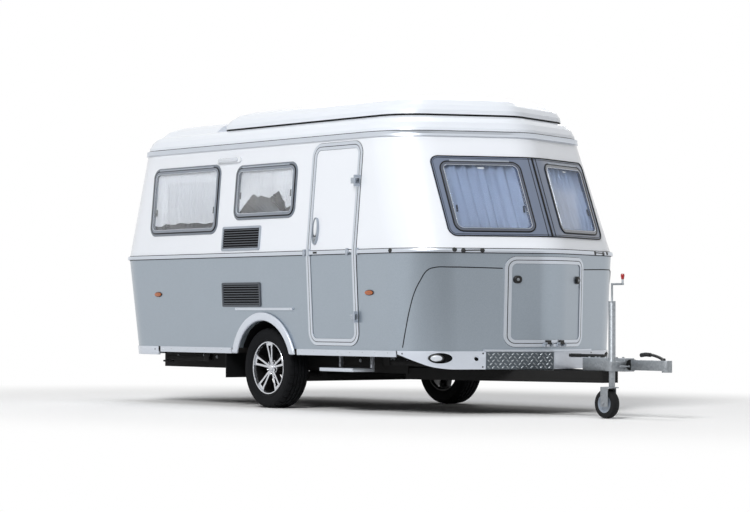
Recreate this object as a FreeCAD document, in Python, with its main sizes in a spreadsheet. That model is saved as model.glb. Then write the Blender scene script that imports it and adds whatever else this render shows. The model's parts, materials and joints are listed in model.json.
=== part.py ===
"""A small touring caravan with a lifting roof: a bowed body of flat panels on a single axle,
on a steel chassis that runs forward into an A-frame with its coupling and jockey wheel.

The frame has X forward, Y to the left and Z up. The origin is on the ground, at the middle of the
overall length and width, and lengths are in millimetres. Every place along X is given from the
axle, and each piece is then moved back to the origin as a whole.
"""
import FreeCAD
import Part
import math
import os
import re

from FreeCAD import Matrix, Placement, Rotation, Vector
from types import SimpleNamespace

SIZES = [
    # overall size and stance
    ("draw_reach", 1129, "the body's nose at the waist to the coupling's nose"),
    ("wheel_tuck", 147.5, "the waist in to a wheel's middle plane"),
    ("hub_height", 298, "ground to the axle line"),
    ("tyre_radius", 298, "outer radius of the tyre"),
    ("tyre_width", 185, "section width of the tyre"),
    ("tyre_shoulder", 32, "radius of the tyre's shoulders"),
    ("rim_radius", 196, "outer radius of the rim flange"),
    ("rim_wall", 9, "thickness of the rim barrel"),
    ("rim_width", 160, "width of the rim"),
    ("hub_radius", 52, "radius of the rim's centre"),
    ("spoke_width", 26, "width of one spoke"),
    ("spoke_depth", 34, "depth of one spoke along the axle"),
    ("rim_setback", 14, "tyre's outer face to the spokes"),
    ("drum_radius", 100, "radius of a brake drum"),
    ("drum_width", 58, "width of the brake drum"),
    ("fit_gap", 0.3, "gap between pieces that seat on each other"),
    # body outline at its levels
    ("sill_height", 443, "underside of the walls"),
    ("lower_wall_height", 695, "sill to the waist"),
    ("upper_wall_height", 826, "waist to the gutter"),
    ("sill_tuck", 35, "how far the side's foot lies inside the waist"),
    ("waist_half", 985, "half width at the waist"),
    ("gutter_tuck", 71, "how far the side's head lies inside the waist"),
    ("nose_foot_tuck", 21, "how far the nose's foot lies behind the waist's nose"),
    ("nose_waist", 2171, "axle to the front wall at the waist"),
    ("nose_head_tuck", 333, "how far the nose's head lies behind the waist's nose"),
    ("tail_foot_tuck", 91, "how far the tail's foot lies inside the waist's tail"),
    ("tail_waist", 2095, "axle to the rear wall at the waist"),
    ("tail_head_tuck", 169, "how far the tail's head lies inside the waist's tail"),
    ("nose_sweep", 22, "degrees by which each half of the front falls back"),
    ("tail_sweep", 5, "degrees by which each half of the rear falls forward"),
    ("nose_corner", 448, "plan radius of the front corners"),
    ("nose_crown", 340, "plan radius of the front's middle"),
    ("tail_corner", 326, "plan radius of the rear corners"),
    ("tail_crown", 900, "plan radius of the rear's middle"),
    ("wall", 30, "thickness of the body's walls"),
    ("floor_thickness", 38, "thickness of the floor"),
    ("overrun", 40, "how far cutting tools run past the solids"),
    ("slack", 5, "gap between a leaf and its opening"),
    ("nose_joint_back", 983, "the waist's nose back to the side panels' front joint"),
    ("tail_joint_ahead", 550, "the waist's tail forward to the side panels' rear joint"),
    # roof
    ("roof_skin", 22, "thickness of the roof skins"),
    ("shoulder_rise", 134, "gutter to the lid's seam"),
    ("shoulder_inset", 108, "how far that edge lies inside the gutter"),
    ("rear_roof_rise", 222, "gutter to the top of the fixed roof behind the lid"),
    ("rear_roof_inset", 330, "how far its flat top lies inside the gutter"),
    ("lid_tail", 840, "axle to the lifting roof's rear edge"),
    ("lid_seam", 14, "height of the rubber seam under the lifting roof"),
    ("lid_clearance", 12, "gap behind the lifting roof"),
    ("lid_rise", 164, "the lid's seam to its crest"),
    ("lid_crown_inset", 300, "how far the lid's flat top lies inside its rim"),
    ("lid_travel", 320, "how far the roof lifts"),
    ("well_rim", 46, "width of the fixed roof left under the lid's rim"),
    ("canvas", 3, "thickness of the bellows cloth"),
    ("canvas_height", 28, "height of the folded bellows"),
    ("seal_width", 14, "width of the rubber seam under the lifting roof"),
    # rails
    ("waist_rail_height", 26, "height of the waist rail"),
    ("waist_rail_proud", 15, "how far the waist rail stands out"),
    ("gutter_rail_height", 34, "height of the roof gutter rail"),
    ("gutter_rail_proud", 13, "how far the gutter rail stands out"),
    ("sill_rail_proud", 8, "how far the sill rail stands out"),
    ("sill_rail_height", 43, "height of the sill rail"),
    ("sill_rail_tail_gap", 33, "the rear bumper's end to the sill profile's end"),
    ("sill_rail_nose_gap", 12, "the front bumper's end to the sill profile's end"),
    # wheel arches
    ("arch_radius", 349, "radius of the wheel opening"),
    ("spat_width", 63, "radial width of the wheel arch trim"),
    ("spat_proud", 24, "how far the wheel arch trim stands out"),
    ("arch_skin", 6, "thickness of the wheel boxes"),
    ("arch_depth", 245, "depth of the wheel boxes from the sill inwards"),
    ("arch_rail_half", 365, "half length of the rail over the wheel arch"),
    ("arch_rail_middle", 21, "axle to the middle of that rail"),
    ("arch_rail_height", 734, "height of that rail"),
    ("flap_height", 180, "height of the mud flap"),
    ("flap_width", 190, "width of the mud flap"),
    ("flap_thickness", 6, "thickness of the mud flap"),
    ("flap_bottom", 216, "height of the mud flap's lower edge"),
    ("flap_place", 512, "axle back to the mud flap"),
    # entrance door, on the right side
    ("door_joint_gap", 53, "the side's front joint back to the door's front edge"),
    ("door_width", 540, "width of the door leaf"),
    ("door_foot_gap", 57, "sill to the door's foot"),
    ("door_head_gap", 64, "the door's head to the gutter"),
    ("door_radius", 70, "corner radius of the door"),
    ("trim_width", 22, "width of the door and locker trims"),
    ("trim_proud", 5, "how far these trims stand proud"),
    ("hinge_radius", 7, "radius of the hinge knuckles"),
    ("pin_radius", 3, "radius of the hinge pins"),
    ("knuckle", 40, "length of a hinge knuckle"),
    ("hinge_plate", 4, "thickness of the hinge plates"),
    ("hinge_reach", 40, "how far a hinge plate reaches along the door"),
    ("hinge_high_drop", 260, "the door's head to its upper hinge"),
    ("hinge_low_rise", 177, "the door's foot to its lower hinge"),
    ("hinge_out", 7, "how far the door's hinge line lies outside the waist"),
    ("hinge_ahead", 16, "door's edge to its hinge axis"),
    ("door_rail_gap", 58, "waist rail left off the door beside its hinge"),
    ("handle_height", 200, "height of the door handle"),
    ("handle_width", 60, "width of the door handle"),
    ("handle_depth", 16, "how far the handle stands out"),
    ("handle_rise", 156, "waist to the handle's middle"),
    ("handle_inset", 78, "door's free edge to the handle's middle"),
    # gas locker hatch, in the front wall
    ("locker_half", 340, "half width of the locker hatch"),
    ("locker_foot_gap", 57, "sill to the locker hatch's foot"),
    ("locker_head_gap", 66, "the locker hatch's head to the waist"),
    ("locker_radius", 55, "corner radius of the hatch"),
    ("locker_hinge_ahead", 14, "front wall to the hatch's hinge axis"),
    ("locker_hinge_half", 60, "centreline to each hatch hinge's middle"),
    ("lock_radius", 27, "radius of the locker's lock escutcheons"),
    ("lock_drop", 132, "the locker hatch's head to its locks"),
    ("lock_half", 281, "centreline to a locker lock"),
    ("lock_depth", 12, "how far a lock stands out"),
    # windows
    ("pane_proud", 9, "how far a window pane stands out"),
    ("pane_depth", 4, "thickness of a window pane"),
    ("frame_width", 26, "width of a window's frame"),
    ("frame_proud", 4, "how far a window's frame stands out"),
    ("window_radius", 55, "corner radius of a window"),
    ("curtain_depth", 10, "depth of the curtains' folds"),
    ("front_band_half", 716, "half width of the front window band"),
    ("band_foot_gap", 100, "waist to the front window band"),
    ("band_head_gap", 158, "the front window band to the gutter"),
    ("front_pane_inner", 118, "centreline to a front pane"),
    ("front_pane_outer", 664, "centreline to a front pane's outer edge"),
    ("pane_foot_rim", 38, "the band below the front panes"),
    ("pane_head_rim", 42, "the band above the front panes"),
    # side and rear windows, by their ends along the body
    ("bed_window_joint_gap", 37, "the side's rear joint to the bed window"),
    ("bed_window_nose", 623, "axle back to the right rear window's front end"),
    ("bed_window_foot_gap", 191, "waist to the bed window"),
    ("bed_window_head_gap", 153, "the bed window to the gutter"),
    ("cook_window_tail", 370, "axle back to the middle window's rear end"),
    ("cook_window_nose", 369, "axle to the kitchen window's front edge"),
    ("cook_window_foot_gap", 288, "waist to the kitchen window"),
    ("cook_window_head_gap", 175, "the kitchen window to the gutter"),
    ("seat_window_tail", 240, "axle to the left front window's rear end"),
    ("seat_window_joint_gap", 63, "the side's front joint back to the left front window"),
    ("rear_window_half", 560, "half width of the window in the rear wall"),
    ("rear_window_foot_gap", 192, "waist to the rear window"),
    ("rear_window_head_gap", 204, "the rear window to the gutter"),
    # fittings on the right side
    ("grille_proud", 8, "how far a grille stands out"),
    ("grille_length", 500, "length of a grille"),
    ("grille_height", 182, "height of a grille"),
    ("grille_middle", 268, "axle back to the grilles' middle"),
    ("upper_grille_rise", 125, "waist to the upper grille's middle"),
    ("lower_grille_drop", 297, "waist down to the lower grille's middle"),
    ("grille_slat", 9, "height of a grille slat"),
    ("grille_slats", 6, "number of slats in a grille"),
    ("lamp_length", 308, "length of the awning lamp"),
    ("lamp_height", 42, "height of the awning lamp"),
    ("lamp_proud", 30, "how far the awning lamp stands out"),
    ("lamp_middle", 495, "axle back to the awning lamp's middle"),
    ("lamp_drop", 105, "gutter down to the awning lamp's middle"),
    ("marker_length", 82, "length of a side marker"),
    ("marker_height", 32, "height of a side marker"),
    ("marker_proud", 12, "how far a side marker stands out"),
    ("marker_drop", 290, "waist down to the side markers"),
    ("marker_nose_gap", 111, "the side's front joint to the front marker"),
    ("marker_tail_gap", 137, "the side's rear joint to the rear marker"),
    # bumpers and lamps
    ("bumper_drop", 125, "sill down to the front bumper's foot"),
    ("bumper_skin", 22, "thickness of the bumpers"),
    ("bumper_proud", 8, "how far the bumpers stand out"),
    ("nose_bumper_back", 586, "the waist's nose back to the front bumper's ends"),
    ("tail_bumper_ahead", 665, "the waist's tail forward to the rear bumper's ends"),
    ("tail_bumper_drop", 66, "sill down to the rear bumper's foot"),
    ("tread_plate_end", 485, "centreline to the tread plate's outer end"),
    ("tread_plate_start", 12, "centreline to the tread plate's inner end"),
    ("tread_plate_skin", 4, "thickness of the tread plate"),
    ("position_lamp_turn", 38, "angle of a position lamp from straight ahead, in degrees"),
    ("position_lamp_drop", 49, "sill down to the position lamps"),
    ("position_lamp_radius", 28, "radius of a position lamp"),
    ("position_lamp_back", 26, "how far a position lamp lies behind its recess's middle"),
    ("lamp_recess_length", 172, "length of the recess round a position lamp"),
    ("lamp_recess_height", 74, "height of the recess round a position lamp"),
    ("lamp_recess_depth", 7, "depth of the recess round a position lamp"),
    ("bumper_hole_half", 547, "centreline to the round hole in the front bumper"),
    ("bumper_hole_radius", 18, "radius of the round hole in the front bumper"),
    ("bumper_curve_run", 310, "length over which the front bumper's lower edge comes down"),
    ("ledge_half", 500, "centreline to the end of the ledge over the front bumper"),
    ("ledge_height", 12, "height of the ledge over the front bumper"),
    ("tail_lamp_tuck", 345, "the waist in to a tail lamp's middle"),
    ("tail_lamp_length", 300, "length of a tail lamp"),
    ("tail_lamp_height", 90, "height of a tail lamp"),
    ("tail_lamp_rise", 117, "sill to the tail lamps"),
    ("tail_lamp_proud", 22, "how far a tail lamp stands out"),
    # chassis
    ("beam_tuck", 425, "the waist in to a chassis beam"),
    ("beam_width", 50, "width of a chassis beam"),
    ("beam_height", 130, "height of a chassis beam"),
    ("beam_tail_gap", 195, "the waist's tail to the beams' rear end"),
    ("beam_nose_ahead", 62, "the side's front joint to the beams' front end"),
    ("coupling_reach", 580, "the A-frame's tip to the coupling's nose"),
    ("draw_half", 46, "centreline to a beam where they meet"),
    ("draw_height", 80, "height of the A-frame's beams"),
    ("draw_drop", 90, "floor's underside to the top of the A-frame"),
    ("cross_width", 44, "width of a cross member"),
    ("axle_tube_radius", 38, "radius of the axle tube"),
    ("axle_tube_ahead", 150, "axle line to the axle tube"),
    ("axle_tube_tuck", 345, "the waist in to the axle tube's end"),
    ("arm_width", 34, "width of a trailing arm"),
    ("arm_height", 62, "height of a trailing arm"),
    ("stub_radius", 19, "radius of a stub axle"),
    ("backplate_gap", 6, "gap between a drum and its trailing arm"),
    # coupling and brakes
    ("ball_radius", 25.3, "radius of the coupling's socket"),
    ("coupling_wall", 9, "thickness of the coupling's cup"),
    ("housing_reach", 190, "how far the housing runs on past the A-frame's tip"),
    ("shaft_radius", 25, "radius of the overrun shaft"),
    ("housing_length", 230, "length of the overrun housing"),
    ("housing_half", 46, "half width of the overrun housing"),
    ("housing_height", 90, "height of the overrun housing"),
    ("lever_length", 360, "length of the handbrake lever"),
    ("lever_thickness", 22, "thickness of the handbrake lever"),
    # jockey wheel
    ("jockey_ahead", 160, "the A-frame's tip to the jockey tube"),
    ("jockey_side", 135, "centreline to the jockey wheel's tube"),
    ("jockey_tube_radius", 24, "radius of the jockey wheel's outer tube"),
    ("jockey_tube_wall", 2.5, "thickness of that tube"),
    ("jockey_tube_bottom", 320, "height of that tube's lower end"),
    ("jockey_tube_top", 780, "height of that tube's upper end"),
    ("jockey_stem_radius", 21, "radius of the inner tube"),
    ("jockey_crown", 8, "thickness of the fork's crown"),
    ("jockey_trail", 48, "swivel axis to the jockey wheel's axle"),
    ("jockey_radius", 100, "radius of the jockey wheel"),
    ("jockey_width", 60, "width of the jockey wheel"),
    ("jockey_fork_gap", 5, "gap between fork and wheel"),
    ("jockey_fork_plate", 5, "thickness of the fork's plates"),
    ("jockey_axle_radius", 10, "radius of the jockey wheel's axle"),
    ("jockey_travel", 95, "how far the jockey wheel winds up"),
    ("crank_height", 130, "height of the crank above its tube"),
    ("crank_reach", 110, "reach of the crank"),
    ("crank_radius", 7, "radius of the crank's rod"),
    ("knob_radius", 13, "radius of the crank's knob"),
    # corner steadies
    ("steady_length", 560, "pivot to foot along a corner steady"),
    ("steady_width", 36, "width of a corner steady's leg"),
    ("steady_level", 352, "height of a corner steady's pivot"),
    ("steady_tail_pivot", 880, "axle back to the rear steadies' pivots"),
    ("steady_nose_pivot", 1180, "axle to the front steadies' pivots"),
    ("steady_tail_tuck", 135, "the waist in to a rear steady"),
    ("steady_nose_tuck", 285, "the waist in to a front steady"),
    ("steady_foot_radius", 44, "radius of a steady's foot"),
    ("steady_foot_height", 14, "height of a steady's foot"),
    ("steady_bracket", 5, "thickness of a steady's bracket plates"),
    ("steady_pin_radius", 8, "radius of a steady's pivot pin"),
    # entry step
    ("step_length", 393, "length of the entry step"),
    ("step_middle", 866, "axle to the entry step's middle"),
    ("step_tuck", 47, "the waist in to the step's outer edge"),
    ("step_depth", 200, "depth of the step's tread"),
    ("step_level", 300, "height of the step's tread"),
    ("step_tread", 26, "thickness of the step's tread"),
    ("step_hanger", 24, "width of the step's hangers"),
]

ALIASES = {row[0] for row in SIZES}

# sizes that follow others
SUMS = {
    "waist_height": "sill_height + lower_wall_height",
    "gutter_height": "waist_height + upper_wall_height",
    "sill_half": "waist_half - sill_tuck",
    "gutter_half": "waist_half - gutter_tuck",
    "wheel_half": "waist_half - wheel_tuck",
    "beam_half": "waist_half - beam_tuck",
    "axle_tube_half": "waist_half - axle_tube_tuck",
    "steady_tail_half": "waist_half - steady_tail_tuck",
    "steady_nose_half": "waist_half - steady_nose_tuck",
    "step_outer": "waist_half - step_tuck",
    "tail_lamp_half": "waist_half - tail_lamp_tuck",
    "nose_sill": "nose_waist - nose_foot_tuck",
    "nose_gutter": "nose_waist - nose_head_tuck",
    "tail_sill": "tail_waist - tail_foot_tuck",
    "tail_gutter": "tail_waist - tail_head_tuck",
    "nose_joint": "nose_waist - nose_joint_back",
    "tail_joint": "tail_waist - tail_joint_ahead",
    "overall_length": "tail_waist + waist_rail_proud + nose_waist + draw_reach",
    "shoulder_height": "gutter_height + shoulder_rise",
    "rear_roof_height": "gutter_height + rear_roof_rise",
    "total_height": "shoulder_height + lid_rise",
    "nose_bumper_end": "nose_waist - nose_bumper_back",
    "tail_bumper_end": "tail_waist - tail_bumper_ahead",
    "sill_rail_nose": "nose_bumper_end - sill_rail_nose_gap",
    "sill_rail_tail": "tail_bumper_end - sill_rail_tail_gap",
    "bumper_bottom": "sill_height - bumper_drop",
    "tail_bumper_bottom": "sill_height - tail_bumper_drop",
    "position_lamp_level": "sill_height - position_lamp_drop",
    "tail_lamp_level": "sill_height + tail_lamp_rise",
    "door_front": "nose_joint - door_joint_gap",
    "door_bottom": "sill_height + door_foot_gap",
    "door_top": "gutter_height - door_head_gap",
    "hinge_high": "door_top - hinge_high_drop",
    "hinge_low": "door_bottom + hinge_low_rise",
    "hinge_half": "waist_half + hinge_out",
    "handle_level": "waist_height + handle_rise",
    "locker_bottom": "sill_height + locker_foot_gap",
    "locker_top": "waist_height - locker_head_gap",
    "lock_level": "locker_top - lock_drop",
    "front_band_bottom": "waist_height + band_foot_gap",
    "front_band_top": "gutter_height - band_head_gap",
    "front_pane_bottom": "front_band_bottom + pane_foot_rim",
    "front_pane_top": "front_band_top - pane_head_rim",
    "bed_window_tail": "tail_joint - bed_window_joint_gap",
    "bed_window_bottom": "waist_height + bed_window_foot_gap",
    "bed_window_top": "gutter_height - bed_window_head_gap",
    "cook_window_bottom": "waist_height + cook_window_foot_gap",
    "cook_window_top": "gutter_height - cook_window_head_gap",
    "seat_window_nose": "nose_joint - seat_window_joint_gap",
    "rear_window_bottom": "waist_height + rear_window_foot_gap",
    "rear_window_top": "gutter_height - rear_window_head_gap",
    "upper_grille_level": "waist_height + upper_grille_rise",
    "lower_grille_level": "waist_height - lower_grille_drop",
    "lamp_level": "gutter_height - lamp_drop",
    "marker_level": "waist_height - marker_drop",
    "marker_nose": "nose_joint + marker_nose_gap",
    "marker_tail": "tail_joint - marker_tail_gap",
    "beam_tail": "tail_waist - beam_tail_gap",
    "beam_nose": "nose_joint + beam_nose_ahead",
    "draw_nose": "nose_waist + draw_reach - coupling_reach",
    "jockey_place": "draw_nose + jockey_ahead",
}

# moves every piece from the axle, where it is measured, back to the origin
AXLE_SHIFT = "tail_waist + waist_rail_proud - overall_length / 2"

# the least that a corner's radius shrinks to on an outline far inside the walls
LEAST_BEND_SHARE = 0.45

LOWER = "lower"
UPPER = "upper"
RIGHT = -1
LEFT = 1


def open_document():
    """Make the document with its sheet of driving dimensions."""
    doc = FreeCAD.newDocument("caravan")
    sheet = doc.addObject("Spreadsheet::Sheet", "dim")
    for row, (alias, value, note) in enumerate(SIZES, start=1):
        sheet.set("A%d" % row, alias)
        sheet.set("B%d" % row, str(value))
        sheet.set("C%d" % row, note)
        sheet.setAlias("B%d" % row, alias)
    doc.recompute()
    return doc, sheet


DOC, SHEET = open_document()
d = SimpleNamespace(**{alias: float(SHEET.get(alias)) for alias in ALIASES})


def add_sums():
    """Work out the sizes that follow others, each after the ones it needs."""
    for name, formula in SUMS.items():
        sign = 1
        value = 0
        for word in formula.split():
            if word in "+-":
                sign = 1 if word == "+" else -1
            else:
                value += sign * getattr(d, word)
        setattr(d, name, value)


add_sums()


def bound(formula):
    """A formula in plain names of sizes, as an expression on the sheet's cells."""
    def cell(match):
        word = match.group()
        if word in SUMS:
            return "(%s)" % bound(SUMS[word])
        return "dim." + word if word in ALIASES else word
    return re.sub(r"[a-z][a-z_]*", cell, formula)


def seat(piece, at, turn=None):
    """Bind a piece's place to three formulas, after an optional turn about the piece's origin."""
    if turn is not None:
        piece.Placement = Placement(Vector(), turn)
    for axis, formula in zip("xyz", at):
        piece.setExpression("Placement.Base.%s" % axis, bound(formula))
    return piece


def box(name, length, width, height, at, turn=None):
    """A box bound to formulas, with its low corner at the place given."""
    piece = DOC.addObject("Part::Box", name)
    piece.setExpression("Length", bound(length))
    piece.setExpression("Width", bound(width))
    piece.setExpression("Height", bound(height))
    return seat(piece, at, turn)


ALONG_X = Rotation(Vector(0, 1, 0), 90)
ALONG_Y = Rotation(Vector(1, 0, 0), -90)
ALONG_Z = Rotation()


def rod(name, radius, length, at, turn=ALONG_Z):
    """A cylinder bound to formulas, with the middle of its first end at the place given."""
    piece = DOC.addObject("Part::Cylinder", name)
    piece.setExpression("Radius", bound(radius))
    piece.setExpression("Height", bound(length))
    return seat(piece, at, turn)


def fused(name, pieces):
    """One solid made of pieces that meet."""
    whole = DOC.addObject("Part::MultiFuse", name)
    whole.Shapes = pieces
    return whole


def cut(name, base, tool):
    """The base with the tool taken away."""
    rest = DOC.addObject("Part::Cut", name)
    rest.Base = base
    rest.Tool = tool
    return rest


NODES = []


def node(name, piece):
    """Name a finished piece and move it from the axle to the part's origin."""
    piece.Label = name
    seat(piece, (AXLE_SHIFT, "0", "0"))
    NODES.append(piece)
    return piece


def gathered(name, pieces):
    """A node of solids that belong together without touching."""
    group = DOC.addObject("Part::Compound", name)
    group.Links = pieces
    return node(name, group)


def formed(name, shape):
    """A node whose form follows the body's outline, which no primitive gives."""
    piece = DOC.addObject("Part::Feature", name)
    piece.Shape = shape
    return node(name, piece)


def blend(low, high, share):
    """The value that lies this share of the way from low to high."""
    return low + (high - low) * share


def levels(part):
    """The two levels between which one part of the walls is flat, each as height and sizes."""
    sill = (d.sill_height, d.sill_half, d.nose_sill, d.tail_sill)
    waist = (d.waist_height, d.waist_half, d.nose_waist, d.tail_waist)
    gutter = (d.gutter_height, d.gutter_half, d.nose_gutter, d.tail_gutter)
    return (sill, waist) if part == LOWER else (waist, gutter)


def sizes_at(part, height):
    """Half width, nose and tail of the body's outline at a height."""
    low, high = levels(part)
    share = (height - low[0]) / (high[0] - low[0])
    return [blend(a, b, share) for a, b in zip(low[1:], high[1:])]


def end_points(half, reach, sweep, corner, crown):
    """The tangent points and arc middles of one end, from the centreline to the side, as (x, y)."""
    angle = math.radians(sweep)
    tip = reach + crown * (1 / math.cos(angle) - 1)
    crown_centre = reach - crown
    support = tip * math.cos(angle)
    corner_y = half - corner
    corner_x = (support - corner - corner_y * math.sin(angle)) / math.cos(angle)
    middle = (angle + math.pi / 2) / 2
    return {
        "nose": (reach, 0),
        "crown": (crown_centre + crown * math.cos(angle), crown * math.sin(angle)),
        "facet": (corner_x + corner * math.cos(angle), corner_y + corner * math.sin(angle)),
        "bend": (corner_x + corner * math.cos(middle), corner_y + corner * math.sin(middle)),
        "side": (corner_x, half),
    }


def eased(radius, offset):
    """A corner's radius once its outline is moved outwards, which never shrinks to a point."""
    return max(radius + offset, radius * LEAST_BEND_SHARE)


def plan_wire(part, height, offset):
    """The body's outline at a height, moved outwards by the offset, as lines and arcs."""
    half, nose, tail = [value + offset for value in sizes_at(part, height)]
    front = end_points(half, nose, d.nose_sweep, eased(d.nose_corner, offset), eased(d.nose_crown, offset))
    rear = end_points(half, tail, d.tail_sweep, eased(d.tail_corner, offset), eased(d.tail_crown, offset))

    def spot(end, key, along, across):
        return Vector(end[key][0] * along, end[key][1] * across, height)

    edges = [Part.Arc(spot(front, "crown", 1, -1), spot(front, "nose", 1, 1), spot(front, "crown", 1, 1)).toShape()]
    for end, along, across, keys in ((front, 1, 1, ("crown", "facet", "bend", "side")),
                                     (rear, -1, 1, ("side", "bend", "facet", "crown"))):
        if along == -1:
            edges.append(Part.makeLine(spot(front, "side", 1, 1), spot(rear, "side", -1, 1)))
        first, second, third, fourth = [spot(end, key, along, across) for key in keys]
        if along == 1:
            edges.append(Part.makeLine(first, second))
            edges.append(Part.Arc(second, third, fourth).toShape())
        else:
            edges.append(Part.Arc(first, second, third).toShape())
            edges.append(Part.makeLine(third, fourth))
    edges.append(Part.Arc(spot(rear, "crown", -1, 1), spot(rear, "nose", -1, 1), spot(rear, "crown", -1, -1)).toShape())
    edges.append(Part.makeLine(spot(rear, "crown", -1, -1), spot(rear, "facet", -1, -1)))
    edges.append(Part.Arc(spot(rear, "facet", -1, -1), spot(rear, "bend", -1, -1), spot(rear, "side", -1, -1)).toShape())
    edges.append(Part.makeLine(spot(rear, "side", -1, -1), spot(front, "side", 1, -1)))
    edges.append(Part.Arc(spot(front, "side", 1, -1), spot(front, "bend", 1, -1), spot(front, "facet", 1, -1)).toShape())
    edges.append(Part.makeLine(spot(front, "facet", 1, -1), spot(front, "crown", 1, -1)))
    return Part.Wire(edges)


def hull(part, offset, low, high):
    """The space inside the body's outline between two heights, moved outwards by the offset."""
    return Part.makeLoft([plan_wire(part, low, offset), plan_wire(part, high, offset)], True, True)


LAYERS = {}


def layer(part, outer, inner):
    """A skin that follows one part of the walls, between two offsets from their outer face."""
    key = (part, outer, inner)
    if key not in LAYERS:
        low, high = [level[0] for level in levels(part)]
        inside = hull(part, inner, low - d.overrun, high + d.overrun)
        LAYERS[key] = hull(part, outer, low, high).cut(inside)
    return LAYERS[key]


def side_slab(part, side, outer, inner, start=None, end=None):
    """A flat stretch of one side wall between two offsets, with a plane joint at either end."""
    start = -d.tail_joint if start is None else start
    end = d.nose_joint if end is None else end
    low, high = [level[0] for level in levels(part)]
    spots = [(sizes_at(part, height)[0] + offset, height)
             for height, offset in ((low, outer), (high, outer), (high, inner), (low, inner))]
    points = [Vector(start, side * across, height) for across, height in spots]
    return Part.Face(Part.makePolygon(points + points[:1])).extrude(Vector(end - start, 0, 0))


def side_skin(side, outer, inner, start=None, end=None):
    """A flat stretch of one side wall over both of its parts."""
    return side_slab(LOWER, side, outer, inner, start, end).fuse(
        side_slab(UPPER, side, outer, inner, start, end))


def rounded_face(low, high, radius, lift):
    """A rectangle with round corners between two corners (u, v), whose points lift places in space."""
    (u0, v0), (u1, v1) = low, high
    bend = radius * (1 - math.sqrt(0.5))
    corners = [
        ((u0, v0 + radius), (u0 + bend, v0 + bend), (u0 + radius, v0)),
        ((u1 - radius, v0), (u1 - bend, v0 + bend), (u1, v0 + radius)),
        ((u1, v1 - radius), (u1 - bend, v1 - bend), (u1 - radius, v1)),
        ((u0 + radius, v1), (u0 + bend, v1 - bend), (u0, v1 - radius)),
    ]
    edges = []
    for index, points in enumerate(corners):
        following = corners[(index + 1) % len(corners)]
        edges.append(Part.Arc(*[lift(*point) for point in points]).toShape())
        edges.append(Part.makeLine(lift(*points[-1]), lift(*following[0])))
    return Part.Face(Part.Wire(edges))


def side_prism(low, high, radius, side):
    """The space behind and before a rounded rectangle (x, z) on one side wall."""
    face = rounded_face(low, high, radius, lambda u, v: Vector(u, 0, v))
    return face.extrude(Vector(0, side * (d.waist_half + d.overrun), 0))


def end_prism(low, high, radius, end):
    """The space behind and before a rounded rectangle (y, z) on the front or rear wall."""
    reach = d.nose_waist if end > 0 else d.tail_waist
    face = rounded_face(low, high, radius, lambda u, v: Vector(0, u, v))
    return face.extrude(Vector(end * (reach + d.overrun), 0, 0))


def side_plate(part, low, high, radius, side, outer, inner=0):
    """A rounded rectangle (x, z) that lies flat on one side wall, between two offsets from it."""
    face = rounded_face(low, high, radius,
                        lambda u, v: Vector(u, side * (sizes_at(part, v)[0] + inner), v))
    return face.extrude(Vector(0, side * (outer - inner), 0))


def side_frame(part, low, high, radius, rim, side, outer, inner=0):
    """A flat frame round a rounded rectangle on one side wall, as wide as the rim."""
    wide_low, wide_high = grown(low, high, rim)
    wide = side_plate(part, wide_low, wide_high, radius + rim, side, outer, inner)
    return wide.cut(side_prism(low, high, radius, side))


def grown(low, high, rim):
    """Two corners of a rectangle, moved outwards by the rim."""
    return (low[0] - rim, low[1] - rim), (high[0] + rim, high[1] + rim)


def centred(middle, length, height):
    """Two corners of a rectangle about its middle."""
    return ((middle[0] - length / 2, middle[1] - height / 2),
            (middle[0] + length / 2, middle[1] + height / 2))


def end_band(low, high, radius, rim, end):
    """The frame-shaped space round a rounded rectangle on the front or rear wall."""
    wide_low, wide_high = grown(low, high, rim)
    return end_prism(wide_low, wide_high, radius + rim, end).cut(end_prism(low, high, radius, end))


def slab_x(start, end):
    """The space between two places along the body, over its whole width and height."""
    reach = d.waist_half + d.overrun
    return Part.makeBox(end - start, 2 * reach, d.total_height, Vector(start, -reach, 0))


def slab_z(low, high):
    """The space between two heights, over the body's whole length and width."""
    reach = d.waist_half + d.overrun
    length = d.nose_waist + d.tail_waist + 2 * d.overrun
    return Part.makeBox(length, 2 * reach, high - low, Vector(-d.tail_waist - d.overrun, -reach, low))


# door, hatch and window outlines, shared by their leaves, openings and trims
DOOR = ((d.door_front - d.door_width, d.door_bottom), (d.door_front, d.door_top))
LOCKER = ((-d.locker_half, d.locker_bottom), (d.locker_half, d.locker_top))
RIGHT_PANES = [
    ((-d.bed_window_tail, d.bed_window_bottom), (-d.bed_window_nose, d.bed_window_top)),
    ((-d.cook_window_tail, d.cook_window_bottom), (d.cook_window_nose, d.cook_window_top)),
]
LEFT_PANES = [
    ((-d.bed_window_tail, d.bed_window_bottom), (-d.bed_window_nose, d.bed_window_top)),
    ((d.seat_window_tail, d.bed_window_bottom), (d.seat_window_nose, d.bed_window_top)),
]
REAR_PANES = [((-d.rear_window_half, d.rear_window_bottom), (d.rear_window_half, d.rear_window_top))]
FRONT_PANES = [
    ((-d.front_pane_outer, d.front_pane_bottom), (-d.front_pane_inner, d.front_pane_top)),
    ((d.front_pane_inner, d.front_pane_bottom), (d.front_pane_outer, d.front_pane_top)),
]
SIDES = (("right", RIGHT, RIGHT_PANES), ("left", LEFT, LEFT_PANES))


def holes(panes, prism, place):
    """The holes for the windows of one wall, one slack larger than their panes."""
    return [prism(*grown(*pane, d.slack), d.window_radius + d.slack, place) for pane in panes]


def wheel_round(radius):
    """A cylinder right across the body round the axle line."""
    reach = d.waist_half + d.overrun
    return Part.makeCylinder(radius, 2 * reach, Vector(0, -reach, d.hub_height), Vector(0, 1, 0))


def across_side(radius, inner, outer, side):
    """A cylinder round the axle line on one side, between two distances from the centreline."""
    start = Vector(0, side * inner, d.hub_height)
    return Part.makeCylinder(radius, outer - inner, start, Vector(0, side, 0))


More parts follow.
